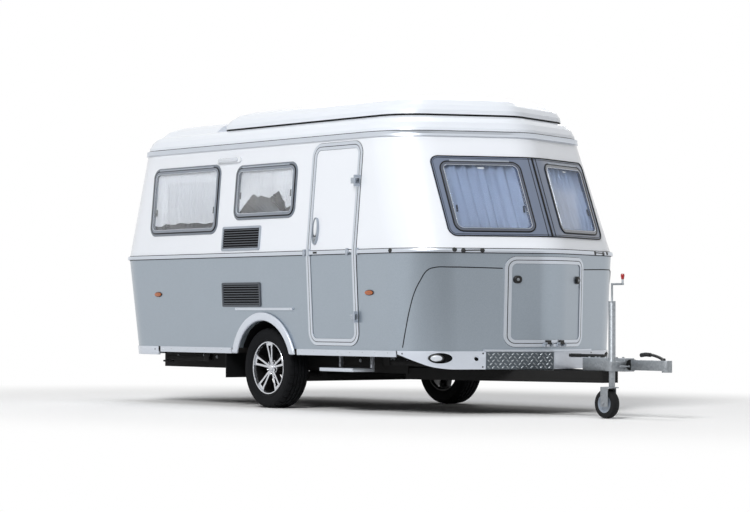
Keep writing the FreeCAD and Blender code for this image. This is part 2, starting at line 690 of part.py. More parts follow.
def build_walls():
    """Side, front and rear walls, each split at the waist where the real panels meet."""
    door_hole = side_prism(*grown(*DOOR, d.slack), d.door_radius + d.slack, RIGHT)
    hatch_hole = end_prism(*grown(*LOCKER, d.slack), d.locker_radius + d.slack, 1)
    ahead = slab_x(d.nose_joint, d.nose_waist + d.overrun)
    behind = slab_x(-d.tail_waist - d.overrun, -d.tail_joint)
    for part in (LOWER, UPPER):
        for word, side, panes in SIDES:
            wall = side_slab(part, side, 0, -d.wall)
            tools = [wheel_round(d.arch_radius)] if part == LOWER else holes(panes, side_prism, side)
            if side == RIGHT:
                tools.append(door_hole)
            formed("%s_wall_%s" % (part, word), wall.cut(tools))
        ring = layer(part, 0, -d.wall)
        front_tools = [hatch_hole] if part == LOWER else holes(FRONT_PANES, end_prism, 1)
        formed("%s_wall_front" % part, ring.common(ahead).cut(front_tools))
        rear = ring.common(behind)
        if part == UPPER:
            rear = rear.cut(holes(REAR_PANES, end_prism, -1))
        formed("%s_wall_rear" % part, rear)


def build_floor():
    """The floor, cut out for the wheels, with the wheel boxes over them."""
    floor = hull(LOWER, 0, d.sill_height - d.floor_thickness, d.sill_height)
    inner = d.sill_half - d.arch_depth
    outer = d.sill_half - d.wall - d.fit_gap
    above = slab_z(d.sill_height, d.total_height)
    boxes = []
    for side in (RIGHT, LEFT):
        floor = floor.cut(across_side(d.arch_radius, inner, d.waist_half, side))
        shell = across_side(d.arch_radius + d.arch_skin, inner - d.arch_skin, outer, side)
        hollow = across_side(d.arch_radius, inner, d.waist_half, side)
        boxes.append(shell.cut(hollow).common(above))
    formed("floor_panel", floor)
    formed("wheel_boxes", Part.makeCompound(boxes))


def gutter_wire(height, offset):
    """The gutter's outline, moved outwards by the offset and lifted to a height."""
    wire = plan_wire(UPPER, d.gutter_height, offset)
    wire.translate(Vector(0, 0, height - d.gutter_height))
    return wire


def roof_wire(height, offset, tail):
    """The lifting roof's outline: the front like the body's, the rear straight with round corners."""
    half, nose = [value + offset for value in sizes_at(UPPER, d.gutter_height)[:2]]
    front = end_points(half, nose, d.nose_sweep, eased(d.nose_corner, offset), eased(d.nose_crown, offset))
    bend = eased(d.nose_corner, offset) / 2
    rear = {
        "side": (-tail + bend, half),
        "bend": (-tail + bend * (1 - math.sqrt(0.5)), half - bend * (1 - math.sqrt(0.5))),
        "end": (-tail, half - bend),
    }

    def spot(end, key, across):
        return Vector(end[key][0], end[key][1] * across, height)

    edges = [
        Part.Arc(spot(front, "crown", -1), spot(front, "nose", 1), spot(front, "crown", 1)).toShape(),
        Part.makeLine(spot(front, "crown", 1), spot(front, "facet", 1)),
        Part.Arc(spot(front, "facet", 1), spot(front, "bend", 1), spot(front, "side", 1)).toShape(),
        Part.makeLine(spot(front, "side", 1), spot(rear, "side", 1)),
        Part.Arc(spot(rear, "side", 1), spot(rear, "bend", 1), spot(rear, "end", 1)).toShape(),
        Part.makeLine(spot(rear, "end", 1), spot(rear, "end", -1)),
        Part.Arc(spot(rear, "end", -1), spot(rear, "bend", -1), spot(rear, "side", -1)).toShape(),
        Part.makeLine(spot(rear, "side", -1), spot(front, "side", -1)),
        Part.Arc(spot(front, "side", -1), spot(front, "bend", -1), spot(front, "facet", -1)).toShape(),
        Part.makeLine(spot(front, "facet", -1), spot(front, "crown", -1)),
    ]
    return Part.Wire(edges)


def lofted(wires):
    """A solid with straight sides from each outline to the next."""
    return Part.makeLoft(wires, True, True)


# how far in and how far up each step of a rounded roof edge lies, as shares
SHOULDER_SHARES = [(0, 0), (0.08, 0.33), (0.3, 0.64), (0.62, 0.87), (1, 1)]
REAR_ROOF_SHARES = [(0, 0), (0.25, 0.5), (0.6, 0.85), (1, 1)]
LID_SHARES = [(0, 0), (0.02, 0.2), (0.1, 0.45), (0.3, 0.72), (0.6, 0.9), (1, 1)]


def shoulder_solid(sink):
    """The fixed roof's shoulder as a solid, sunk below its outer face."""
    rise = d.shoulder_height - d.gutter_height
    return lofted([gutter_wire(d.gutter_height + up * rise - (sink if up else 0),
                               -into * d.shoulder_inset - sink) for into, up in SHOULDER_SHARES])


def rear_roof_solid(sink):
    """The fixed roof behind the lifting roof as a solid, sunk below its outer face."""
    rise = d.rear_roof_height - d.shoulder_height
    return lofted([gutter_wire(d.shoulder_height + up * rise - sink,
                               -blend(d.shoulder_inset, d.rear_roof_inset, into) - sink)
                   for into, up in REAR_ROOF_SHARES])


def lid_solid(sink):
    """The lifting roof as a solid, sunk below its outer face."""
    base = d.shoulder_height + d.lid_seam
    rise = d.total_height - base
    wires = []
    for into, up in LID_SHARES:
        inset = into * d.lid_crown_inset + sink
        height = base + up * rise - (sink if up else 0)
        wires.append(roof_wire(height, -d.shoulder_inset - inset, d.lid_tail - inset))
    return lofted(wires)


def roof_ring(low, high, inset, thickness):
    """An upright ring under the lifting roof's rim, inset from the edge."""
    walls = []
    for depth in (inset, inset + thickness):
        offset = -d.shoulder_inset - depth
        walls.append(lofted([roof_wire(low, offset, d.lid_tail - depth),
                             roof_wire(high, offset, d.lid_tail - depth)]))
    return walls[0].cut(walls[1])


def build_roof():
    """The fixed roof with the opening under the lifting roof, that roof, its seal and bellows."""
    behind = slab_x(-d.tail_waist - d.overrun, -d.lid_tail - d.lid_clearance)
    room = slab_x(-d.tail_waist - d.overrun, -d.lid_tail - d.lid_clearance - d.roof_skin)
    well_offset = -d.shoulder_inset - d.well_rim
    well = lofted([roof_wire(height, well_offset, d.lid_tail - d.well_rim)
                   for height in (d.gutter_height, d.total_height)])
    roof = shoulder_solid(0).fuse(rear_roof_solid(0).common(behind))
    formed("roof_fixed", roof.cut([shoulder_solid(d.roof_skin), rear_roof_solid(d.roof_skin).common(room), well]))
    formed("lifting_roof", lid_solid(0).cut(lid_solid(d.roof_skin)))
    base = d.shoulder_height + d.lid_seam
    formed("roof_seal", roof_ring(d.shoulder_height + d.fit_gap, base, d.slack, d.seal_width))
    top = d.total_height - d.roof_skin - d.slack
    formed("roof_bellows", roof_ring(d.shoulder_height, d.shoulder_height + d.canvas_height,
                                     d.well_rim - d.slack - d.canvas, d.canvas))


def rail_ring(part, proud, low, high, back=0):
    """A rail round the body between two heights on one part of its walls."""
    return hull(part, proud, low, high).cut(hull(part, back, low - d.overrun, high + d.overrun))


def upright_ring(low, high, outer, inner):
    """An upright ring on the gutter's outline between two heights and two offsets."""
    whole = lofted([gutter_wire(low, outer), gutter_wire(high, outer)])
    return whole.cut(lofted([gutter_wire(low - d.overrun, inner), gutter_wire(high + d.overrun, inner)]))


def build_rails():
    """The aluminium rails at the gutter, the waist, the sill and over the wheels."""
    low = d.waist_height - d.waist_rail_height / 2
    high = d.waist_height + d.waist_rail_height / 2
    waist = rail_ring(LOWER, d.waist_rail_proud, low, d.waist_height).fuse(
        rail_ring(UPPER, d.waist_rail_proud, d.waist_height, high))
    door_gap = side_prism((DOOR[0][0] - d.trim_width - 2 * d.slack, low - d.overrun),
                          (DOOR[1][0] + d.trim_width + 2 * d.slack, high + d.overrun), d.slack, RIGHT)
    lip = d.gutter_rail_height / 2
    gutter = rail_ring(UPPER, d.gutter_rail_proud, d.gutter_height - lip, d.gutter_height)
    upstand = upright_ring(d.gutter_height, d.gutter_height + lip, d.gutter_rail_proud, 0)
    gutter = gutter.fuse(upstand)
    ledge = rail_ring(LOWER, d.waist_rail_proud, d.sill_height, d.sill_height + d.ledge_height)
    ledge = ledge.common(end_prism((-d.ledge_half, d.sill_height - d.overrun),
                                   (d.ledge_half, d.sill_height + d.overrun), d.ledge_height, 1))
    start = d.arch_radius + d.spat_width + d.slack
    sill = rail_ring(LOWER, d.sill_rail_proud, d.sill_height - d.sill_rail_height, d.sill_height)
    sides = [sill.common(slab_x(*ends)) for ends in ((-d.sill_rail_tail, -start), (start, d.sill_rail_nose))]
    outline = centred((d.arch_rail_middle, d.arch_rail_height), 2 * d.arch_rail_half, 2 * d.grille_slat)
    arches = [side_plate(LOWER, *outline, d.grille_slat / 2, side, d.marker_proud) for word, side, panes in SIDES]
    formed("body_rails", Part.makeCompound([waist.cut(door_gap), gutter, ledge] + sides + arches))


def build_arches():
    """The trims round the wheel openings and the mud flaps."""
    trims = []
    ring = wheel_round(d.arch_radius + d.spat_width).cut(wheel_round(d.arch_radius))
    zone = slab_z(d.sill_height - d.sill_rail_height, d.waist_height)
    for word, side, panes in SIDES:
        spots = [Vector(-d.tail_joint, side * (sizes_at(LOWER, height)[0] + offset), height)
                 for height, offset in ((d.hub_height, d.spat_proud), (d.waist_height, d.spat_proud),
                                        (d.waist_height, 0), (d.hub_height, 0))]
        space = Part.Face(Part.makePolygon(spots + spots[:1])).extrude(Vector(d.tail_joint + d.nose_joint, 0, 0))
        trims.append(space.common(ring).common(zone))
    formed("wheel_arch_trims", Part.makeCompound(trims))
    flaps = []
    for word, outer in (("right", "-sill_half + flap_thickness"), ("left", "sill_half - flap_thickness - flap_width")):
        flaps.append(box("flap_" + word, "flap_thickness", "flap_width",
                         "sill_height - floor_thickness - flap_bottom", ("-flap_place", outer, "flap_bottom")))
    gathered("mud_flaps", flaps)


def door_layer(outer, inner, tool):
    """What a shape cuts out of the right wall's skin round the door."""
    start = DOOR[0][0] - d.trim_width - d.overrun
    end = DOOR[1][0] + d.trim_width + d.slack * 2
    return side_skin(RIGHT, outer, inner, start, end).common(tool)


def build_door():
    """The entrance door in its two colours, with its trim, its piece of the waist rail and its handle."""
    prism = side_prism(*DOOR, d.door_radius, RIGHT)
    for part in (LOWER, UPPER):
        formed("door_%s" % part, side_slab(part, RIGHT, 0, -d.wall).common(prism))
    inner = grown(*DOOR, -d.trim_width)
    rim = door_layer(d.trim_proud, 0, prism.cut(side_prism(*inner, d.door_radius - d.trim_width, RIGHT)))
    low = d.waist_height - d.waist_rail_height / 2
    high = d.waist_height + d.waist_rail_height / 2
    end = DOOR[1][0] - d.door_rail_gap
    above_rim = side_prism((DOOR[0][0] + d.slack, low), (end, high), d.pane_depth, RIGHT)
    inside_rim = side_prism((inner[0][0] - d.slack, low), (end, high), d.pane_depth, RIGHT)
    rail = door_layer(d.waist_rail_proud, d.trim_proud, above_rim).fuse(door_layer(d.trim_proud, 0, inside_rim))
    formed("door_trim", rim.fuse(rail))
    middle = DOOR[0][0] + d.handle_inset
    outline = centred((middle, d.handle_level), d.handle_width, d.handle_height)
    formed("door_handle", side_plate(UPPER, *outline, d.handle_width * 0.4, RIGHT, d.handle_depth))


def door_surround():
    """The trim on the wall round the entrance door."""
    wide = grown(*DOOR, d.slack)
    return door_layer(d.trim_proud, 0, side_prism(
        *grown(*wide, d.trim_width), d.door_radius + d.slack + d.trim_width, RIGHT).cut(
        side_prism(*wide, d.door_radius + d.slack, RIGHT)))


def hinge_parts(level):
    """One door hinge at a height, as its fixed and its moving pieces, round an upright axis."""
    axis_x = d.door_front + d.hinge_ahead
    low = level - d.knuckle / 2
    high = level + d.knuckle / 2
    part = UPPER if level > d.waist_height else LOWER
    pin_low = low - d.knuckle / 2
    pin_high = high + d.knuckle / 2

    def column(radius, bottom, top):
        return Part.makeCylinder(radius, top - bottom, Vector(axis_x, -d.hinge_half, bottom))

    def web(start, end, bottom, top):
        return Part.makeBox(end - start, d.hinge_half - d.sill_half + d.wall, top - bottom,
                            Vector(start, -d.hinge_half, bottom))

    fixed = column(d.pin_radius, pin_low, pin_high)
    for bottom, top in ((pin_low, low - d.fit_gap), (high + d.fit_gap, pin_high)):
        fixed = fixed.fuse(column(d.hinge_radius, bottom, top).fuse(
            web(axis_x, axis_x + d.hinge_radius, bottom, top)))
    strap = Part.makeBox(d.hinge_reach, 2 * d.hinge_plate, high - low,
                         Vector(axis_x - d.hinge_reach, -d.hinge_half - d.hinge_plate, low))
    moving = column(d.hinge_radius, low, high).fuse(strap).fuse(
        web(axis_x - d.hinge_reach, axis_x - d.hinge_ahead - d.slack, low, high))
    bore = column(d.pin_radius + d.fit_gap, low - d.overrun, high + d.overrun)
    body = side_slab(part, RIGHT, d.trim_proud, -d.wall - d.overrun)
    return fixed.cut(body), moving.cut(bore).cut(body)


def build_door_hinges():
    """The two hinges of the entrance door, as their fixed and their moving halves."""
    fixed, moving = zip(*[hinge_parts(level) for level in (d.hinge_low, d.hinge_high)])
    formed("door_hinge_leaves", Part.makeCompound(list(moving)))
    return list(fixed)


def locker_axis_x():
    """Where the locker hatch's hinge axis lies along the body."""
    return sizes_at(LOWER, d.locker_bottom)[1] + d.locker_hinge_ahead


def build_locker():
    """The gas locker's hatch with its trims, locks and hinges."""
    prism = end_prism(*LOCKER, d.locker_radius, 1)
    ahead = slab_x(d.nose_joint, d.nose_waist + d.overrun)
    trim_skin = layer(LOWER, d.trim_proud, 0).common(ahead)
    formed("locker_hatch", layer(LOWER, 0, -d.wall).common(prism))
    rim = prism.cut(end_prism(*grown(*LOCKER, -d.trim_width), d.locker_radius - d.trim_width, 1))
    formed("locker_edge_trim", trim_skin.common(rim))
    surround = trim_skin.common(end_band(*grown(*LOCKER, d.slack), d.locker_radius + d.slack, d.trim_width, 1))
    formed("opening_trims", Part.makeCompound([door_surround(), surround]))
    lock_skin = layer(LOWER, d.lock_depth, 0).common(ahead)
    locks = []
    for side in (RIGHT, LEFT):
        outline = centred((side * d.lock_half, d.lock_level), 2 * d.lock_radius, 2 * d.lock_radius)
        locks.append(lock_skin.common(end_prism(*outline, d.lock_radius * 0.9, 1)))
    axis_x = locker_axis_x()
    level = d.locker_bottom - d.slack / 2
    body = hull(LOWER, d.trim_proud, d.sill_height, d.waist_height)
    pins = []
    leaves = []
    for side in (RIGHT, LEFT):
        low = side * d.locker_hinge_half - d.knuckle / 2
        high = low + d.knuckle
        ends = ((low - d.knuckle / 2, low - d.fit_gap), (high + d.fit_gap, high + d.knuckle / 2))

        def across(radius, start, end):
            return Part.makeCylinder(radius, end - start, Vector(axis_x, start, level), Vector(0, 1, 0))

        def web(start, end, bottom, top):
            return Part.makeBox(d.overrun, end - start, top - bottom, Vector(axis_x - d.overrun, start, bottom))

        fixed = across(d.pin_radius, ends[0][0], ends[1][1])
        for start, end in ends:
            fixed = fixed.fuse(across(d.hinge_radius, start, end)).fuse(
                web(start, end, level - d.trim_width, level))
        leaf = web(low, high, level, level + d.trim_width).fuse(across(d.hinge_radius, low, high))
        leaf = leaf.cut(across(d.pin_radius + d.fit_gap, low - d.overrun, high + d.overrun))
        pins.append(fixed.cut(body))
        leaves.append(leaf.cut(body))
    formed("locker_fittings", Part.makeCompound(locks + leaves))
    formed("hinge_pins", Part.makeCompound(build_door_hinges() + pins))


def build_windows():
    """Panes, frames and curtains of every window."""
    glass_back = d.pane_proud - d.pane_depth
    seat_top = glass_back - d.fit_gap
    cloth_front = -d.wall - d.fit_gap
    cloth_back = cloth_front - d.curtain_depth
    glass = []
    frames = []
    curtains = []
    for word, side, panes in SIDES:
        for pane in panes:
            glass.append(side_plate(UPPER, *pane, d.window_radius, side, d.pane_proud, glass_back))
            flange = side_frame(UPPER, *grown(*pane, d.slack), d.window_radius + d.slack,
                                d.frame_width - d.slack, side, d.frame_proud)
            seat_ring = side_frame(UPPER, *grown(*pane, -d.frame_width), d.window_radius - d.frame_width,
                                   d.frame_width + d.slack - d.fit_gap, side, seat_top, -d.wall)
            frames.append(flange.fuse(seat_ring))
            curtains.append(side_plate(UPPER, *grown(*pane, d.frame_width), d.slack, side, cloth_front, cloth_back))
    for end, panes, limit in ((-1, REAR_PANES, slab_x(-d.tail_waist - d.overrun, -d.tail_joint)),
                              (1, FRONT_PANES, slab_x(d.nose_joint, d.nose_waist + d.overrun))):
        pane_skin = layer(UPPER, d.pane_proud, glass_back).common(limit)
        glass += [pane_skin.common(end_prism(*pane, d.window_radius, end)) for pane in panes]
        seat_skin = layer(UPPER, seat_top, -d.wall).common(limit)
        seats = [seat_skin.common(end_band(*grown(*pane, -d.frame_width), d.window_radius - d.frame_width,
                                           d.frame_width + d.slack - d.fit_gap, end)) for pane in panes]
        flange_skin = layer(UPPER, d.frame_proud, 0).common(limit)
        if end < 0:
            field = end_band(*grown(*panes[0], d.slack), d.window_radius + d.slack, d.frame_width, end)
            frames.append(flange_skin.common(field).multiFuse(seats))
        else:
            field = end_prism((-d.front_band_half, d.front_band_bottom),
                              (d.front_band_half, d.front_band_top), d.window_radius, end)
            field = field.cut([end_prism(*pane, d.window_radius, end) for pane in panes])
            formed("front_window_band", flange_skin.common(field).multiFuse(seats))
        cloth_skin = layer(UPPER, cloth_front, cloth_back).common(limit)
        curtains += [cloth_skin.common(end_prism(*grown(*pane, d.frame_width), d.slack, end)) for pane in panes]
    formed("window_panes", Part.makeCompound(glass))
    formed("window_frames", Part.makeCompound(frames))
    formed("curtains", Part.makeCompound(curtains))


def build_side_fittings():
    """The grilles and markers on the side walls; gives the awning lamp's shape."""
    grilles = []
    for part, level in ((UPPER, d.upper_grille_level), (LOWER, d.lower_grille_level)):
        outline = centred((-d.grille_middle, level), d.grille_length, d.grille_height)
        body = side_plate(part, *outline, 2 * d.slack, RIGHT, d.grille_proud / 2)
        rim = side_frame(part, *grown(*outline, -d.grille_slat), d.slack, d.grille_slat, RIGHT, d.grille_proud)
        pitch = d.grille_height / (d.grille_slats + 1)
        slats = [side_plate(part, *centred((-d.grille_middle, outline[0][1] + (index + 1) * pitch),
                                           d.grille_length - d.grille_slat, d.grille_slat),
                            d.grille_slat / 3, RIGHT, d.grille_proud) for index in range(int(d.grille_slats))]
        grilles.append(body.multiFuse([rim] + slats))
    formed("fridge_grilles", Part.makeCompound(grilles))
    outline = centred((-d.lamp_middle, d.lamp_level), d.lamp_length, d.lamp_height)
    awning_lamp = side_plate(UPPER, *outline, d.lamp_height / 3, RIGHT, d.lamp_proud)
    markers = [side_plate(LOWER, *centred((place, d.marker_level), d.marker_length, d.marker_height),
                          d.marker_height / 3, side, d.marker_proud)
               for word, side, panes in SIDES for place in (-d.marker_tail, d.marker_nose)]
    formed("side_markers", Part.makeCompound(markers))
    return awning_lamp


# how far along and how far up the front bumper's lower edge bends at its ends, as shares
BUMPER_EDGE_SHARES = [(0, 0.81), (0.13, 0.71), (0.31, 0.54), (0.49, 0.37), (0.66, 0.19), (0.81, 0.08), (1, 0)]


def under_bumper():
    """The space below the front bumper's lower edge, which rises towards both sides."""
    rise = d.sill_height - d.bumper_bottom
    curve = Part.BSplineCurve()
    curve.interpolate([Vector(d.nose_bumper_end + along * d.bumper_curve_run, 0, d.bumper_bottom + up * rise)
                       for along, up in BUMPER_EDGE_SHARES])
    first, last = curve.StartPoint, curve.EndPoint
    start = Vector(first.x, 0, d.bumper_bottom - d.overrun)
    end = Vector(last.x, 0, d.bumper_bottom - d.overrun)
    outline = Part.Wire([curve.toShape(), Part.makeLine(last, end), Part.makeLine(end, start),
                         Part.makeLine(start, first)])
    reach = d.waist_half + d.overrun
    space = Part.Face(outline)
    space.translate(Vector(0, -reach, 0))
    return space.extrude(Vector(0, 2 * reach, 0))


def bumper_corner(side, turn):
    """A place on the front bumper's round corner at an angle from straight ahead, and the way out of it."""
    half, nose, tail = [value + d.bumper_proud for value in sizes_at(LOWER, d.position_lamp_level)]
    corner = eased(d.nose_corner, d.bumper_proud)
    front = end_points(half, nose, d.nose_sweep, corner, eased(d.nose_crown, d.bumper_proud))
    angle = math.radians(turn)
    out = Vector(math.cos(angle), side * math.sin(angle), 0)
    return Vector(front["side"][0], side * (half - corner), d.position_lamp_level) + out * corner, out


def oval_block(place, out, length, height, depth):
    """An oval block round a place on a surface, from a depth behind it to as far before it."""
    face = Part.Face(Part.Wire(Part.Ellipse(Vector(), length / 2, height / 2).toShape()))
    block = face.extrude(Vector(0, 0, 2 * depth))
    level = Vector(-out.y, out.x, 0)
    block.Placement = Placement(place - out * depth, Rotation(level, Vector(0, 0, 1), out, "ZXY"))
    return block


def corner_skin(outer):
    """A skin round the nose from the floor of the lamps' recesses out to an offset."""
    skin = rail_ring(LOWER, outer, d.bumper_bottom, d.sill_height, d.bumper_proud - d.lamp_recess_depth)
    return skin.common(slab_x(d.nose_joint, d.nose_waist + d.overrun))


def bumper_hollows():
    """The recesses round the position lamps and the round holes beside them."""
    hollows = []
    room = corner_skin(d.bumper_proud + d.overrun)
    for side in (RIGHT, LEFT):
        place, out = bumper_corner(side, d.position_lamp_turn)
        oval = oval_block(place, out, d.lamp_recess_length, d.lamp_recess_height, d.overrun)
        hollows.append(room.common(oval))
        facet, out = bumper_corner(side, d.nose_sweep)
        back = (abs(facet.y) - d.bumper_hole_half) / math.cos(math.radians(d.nose_sweep))
        facet += Vector(out.y * side, -out.x * side, 0) * back
        hollows.append(Part.makeCylinder(d.bumper_hole_radius, 2 * d.lamp_recess_depth,
                                         facet - out * d.lamp_recess_depth, out))
    return hollows


def position_lamps():
    """The round lamps in the front bumper's recesses."""
    lamps = []
    skin = corner_skin(d.bumper_proud)
    for side in (RIGHT, LEFT):
        place, out = bumper_corner(side, d.position_lamp_turn)
        place += Vector(-out.y, out.x, 0) * side * d.position_lamp_back
        lamps.append(skin.common(Part.makeCylinder(d.position_lamp_radius, 2 * d.overrun,
                                                   place - out * d.overrun, out)))
    return lamps


def build_bumpers():
    """The front and rear bumpers with the tread plate and the lamps."""
    floor_low = d.sill_height - d.floor_thickness
    outer = hull(LOWER, d.bumper_proud, d.bumper_bottom, d.sill_height)
    room = hull(LOWER, d.bumper_proud - d.bumper_skin, d.bumper_bottom - d.overrun, d.sill_height + d.overrun)
    beside = hull(LOWER, 0, floor_low, d.sill_height + d.overrun)
    shell = outer.cut([room, beside])
    front = shell.common(slab_x(d.nose_bumper_end, d.nose_waist + d.overrun))
    formed("front_bumper", front.cut([under_bumper()] + bumper_hollows()))
    tail = shell.common(slab_x(-d.tail_waist - d.overrun, -d.tail_bumper_end))
    formed("rear_bumper", tail.common(slab_z(d.tail_bumper_bottom, d.sill_height)))
    plate = rail_ring(LOWER, d.bumper_proud + d.tread_plate_skin, d.bumper_bottom, d.sill_height - d.slack,
                      d.bumper_proud)
    formed("tread_plate", plate.common(end_prism(
        (-d.tread_plate_end, d.bumper_bottom - d.overrun), (-d.tread_plate_start, d.sill_height + d.overrun),
        d.slack, 1)))
    formed("white_lamps", Part.makeCompound(position_lamps() + [build_side_fittings()]))
    rear_skin = layer(LOWER, d.tail_lamp_proud, 0).common(slab_x(-d.tail_waist - d.overrun, -d.tail_joint))
    tail_lamps = [rear_skin.common(end_prism(*centred(
        (side * d.tail_lamp_half, d.tail_lamp_level), d.tail_lamp_length, d.tail_lamp_height),
        d.tail_lamp_height / 4, -1)) for side in (RIGHT, LEFT)]
    formed("tail_lamps", Part.makeCompound(tail_lamps))


def mirrored(name, source):
    """The source's image on the other side of the centreline."""
    image = DOC.addObject("Part::Mirroring", name)
    image.Source = source
    image.Normal = Vector(0, 1, 0)
    return image


FLOOR_LOW = "(sill_height - floor_thickness)"
DRAW_TOP = "(sill_height - floor_thickness - draw_drop)"


def build_chassis():
    """Beams, cross members and the A-frame."""
    low = FLOOR_LOW + " - beam_height"
    beam = box("beam", "beam_tail + beam_nose", "beam_width", "beam_height",
               ("-beam_tail", "beam_half - beam_width / 2", low))
    angle = math.degrees(math.atan2(d.beam_half - d.draw_half, d.draw_nose - d.beam_nose))
    draw = box("draw_beam", "sqrt((draw_nose - beam_nose)^2 + (beam_half - draw_half)^2)",
               "beam_width", "draw_height",
               ("beam_nose - overrun", "beam_half - beam_width / 2", DRAW_TOP + " - draw_height"),
               Rotation(Vector(0, 0, 1), -angle))
    side = fused("beam_side", [beam, draw])
    other = mirrored("beam_other", side)
    crosses = [box("cross_%d" % index, "cross_width", "2 * beam_half", "beam_height - tyre_shoulder",
                   (place, "-beam_half", low + " + tyre_shoulder"))
               for index, place in enumerate(("-beam_tail", "-beam_tail / 2",
                                              "axle_tube_ahead + axle_tube_radius * 3",
                                              "beam_nose - cross_width"))]
    plate = box("draw_plate", "housing_length", "2 * housing_half + beam_width", "draw_height",
                ("draw_nose - housing_length", "-housing_half - beam_width / 2", DRAW_TOP + " - draw_height"))
    node("chassis_frame", fused("chassis_frame", [side, other] + crosses + [plate]))


def build_axle():
    """The axle tube with its brackets, trailing arms and stub axles."""
    level = FLOOR_LOW + " - beam_height - axle_tube_radius"
    tube = rod("axle_bar", "axle_tube_radius", "2 * axle_tube_half",
               ("axle_tube_ahead", "-axle_tube_half", level), ALONG_Y)
    brackets = [box("axle_bracket_" + word, "4 * axle_tube_radius", "beam_width", "axle_tube_radius",
                    ("axle_tube_ahead - 2 * axle_tube_radius", start, level))
                for word, start in (("left", "beam_half - beam_width / 2"),
                                    ("right", "-beam_half - beam_width / 2"))]
    node("axle_tube", fused("axle_tube", [tube] + brackets))
    tube_level = d.sill_height - d.floor_thickness - d.beam_height - d.axle_tube_radius
    angle = math.degrees(math.atan2(d.hub_height - tube_level, -d.axle_tube_ahead))
    reach = "sqrt(axle_tube_ahead^2 + (hub_height - %s)^2)" % ("(" + level + ")")
    arms = []
    for word, side in (("left", LEFT), ("right", RIGHT)):
        start = "axle_tube_half" if side > 0 else "-axle_tube_half - arm_width"
        turn = Rotation(Vector(0, 1, 0), -angle)
        lowered = turn.multVec(Vector(0, 0, -d.arm_height / 2))
        arm = box("arm_bar_" + word, reach, "arm_width", "arm_height",
                  ("axle_tube_ahead + arm_height * (%r)" % (lowered.x / d.arm_height), start,
                   level + " + arm_height * (%r)" % (lowered.z / d.arm_height)), turn)
        eyes = [rod("arm_%s_%s" % (eye, word), "axle_tube_radius", "arm_width", (place, start, height), ALONG_Y)
                for eye, place, height in (("eye", "axle_tube_ahead", level), ("hub", "0", "hub_height"))]
        stub = rod("stub_" + word, "stub_radius", "wheel_half - axle_tube_half - arm_width",
                   ("0", "axle_tube_half + arm_width" if side > 0 else "-wheel_half", "hub_height"), ALONG_Y)
        arms.append(fused("trailing_arm_" + word, [arm, stub] + eyes))
    gathered("trailing_arms", arms)


SPOKE_PAIRS = 5
SPOKE_LEAN = 9


def build_wheel(word, side):
    """One road wheel: its tyre, its rim with five twin spokes and its brake drum."""
    outer_face = "(wheel_half + tyre_width / 2)"

    def disc(name, radius, inner, length):
        start = inner if side > 0 else "-(%s) - (%s)" % (inner, length)
        return rod(name + "_" + word, radius, length, ("0", start, "hub_height"), ALONG_Y)

    tyre_inner = outer_face + " - tyre_width"
    ring = cut("tyre_ring_" + word, disc("tyre_solid", "tyre_radius", tyre_inner, "tyre_width"),
               disc("tyre_bore", "rim_radius + fit_gap", tyre_inner + " - overrun", "tyre_width + 2 * overrun"))
    DOC.recompute()
    shoulders = DOC.addObject("Part::Fillet", "tyre_" + word)
    shoulders.Base = ring
    shoulders.Edges = [(index + 1, d.tyre_shoulder, d.tyre_shoulder)
                       for index, edge in enumerate(ring.Shape.Edges)
                       if hasattr(edge.Curve, "Radius") and abs(edge.Curve.Radius - d.tyre_radius) < d.fit_gap]
    node("tyre_" + word, shoulders)
    rim_inner = outer_face + " - rim_setback - rim_width"
    barrel = cut("barrel_" + word, disc("barrel_solid", "rim_radius", rim_inner, "rim_width"),
                 disc("barrel_bore", "rim_radius - rim_wall", rim_inner + " - overrun", "rim_width + 2 * overrun"))
    spoke_face = outer_face + " - rim_setback - spoke_depth"
    drum_inner = "(axle_tube_half + arm_width + backplate_gap)"
    hub_length = "%s - rim_setback - %s" % (outer_face, drum_inner)
    pieces = [barrel, disc("rim_hub", "hub_radius", drum_inner, hub_length),
              disc("drum", "drum_radius", drum_inner, "drum_width")]
    spoke_start = spoke_face if side > 0 else "-(%s) - spoke_depth" % spoke_face
    for index in range(SPOKE_PAIRS):
        for lean in (-SPOKE_LEAN, SPOKE_LEAN):
            turn = Rotation(Vector(0, 1, 0), index * 360 / SPOKE_PAIRS + lean)
            corner = turn.multVec(Vector(-0.5, 0, 0))
            pieces.append(box("spoke_%s_%d_%d" % (word, index, lean > 0), "spoke_width", "spoke_depth",
                              "rim_radius - rim_wall / 2",
                              ("spoke_width * (%r)" % corner.x, spoke_start,
                               "hub_height + spoke_width * (%r)" % corner.z), turn))
    bore_length = "wheel_half - %s + fit_gap + overrun" % drum_inner
    bore = disc("rim_stub_bore", "stub_radius + fit_gap", drum_inner + " - overrun", bore_length)
    node("rim_" + word, cut("rim_" + word, fused("rim_whole_" + word, pieces), bore))


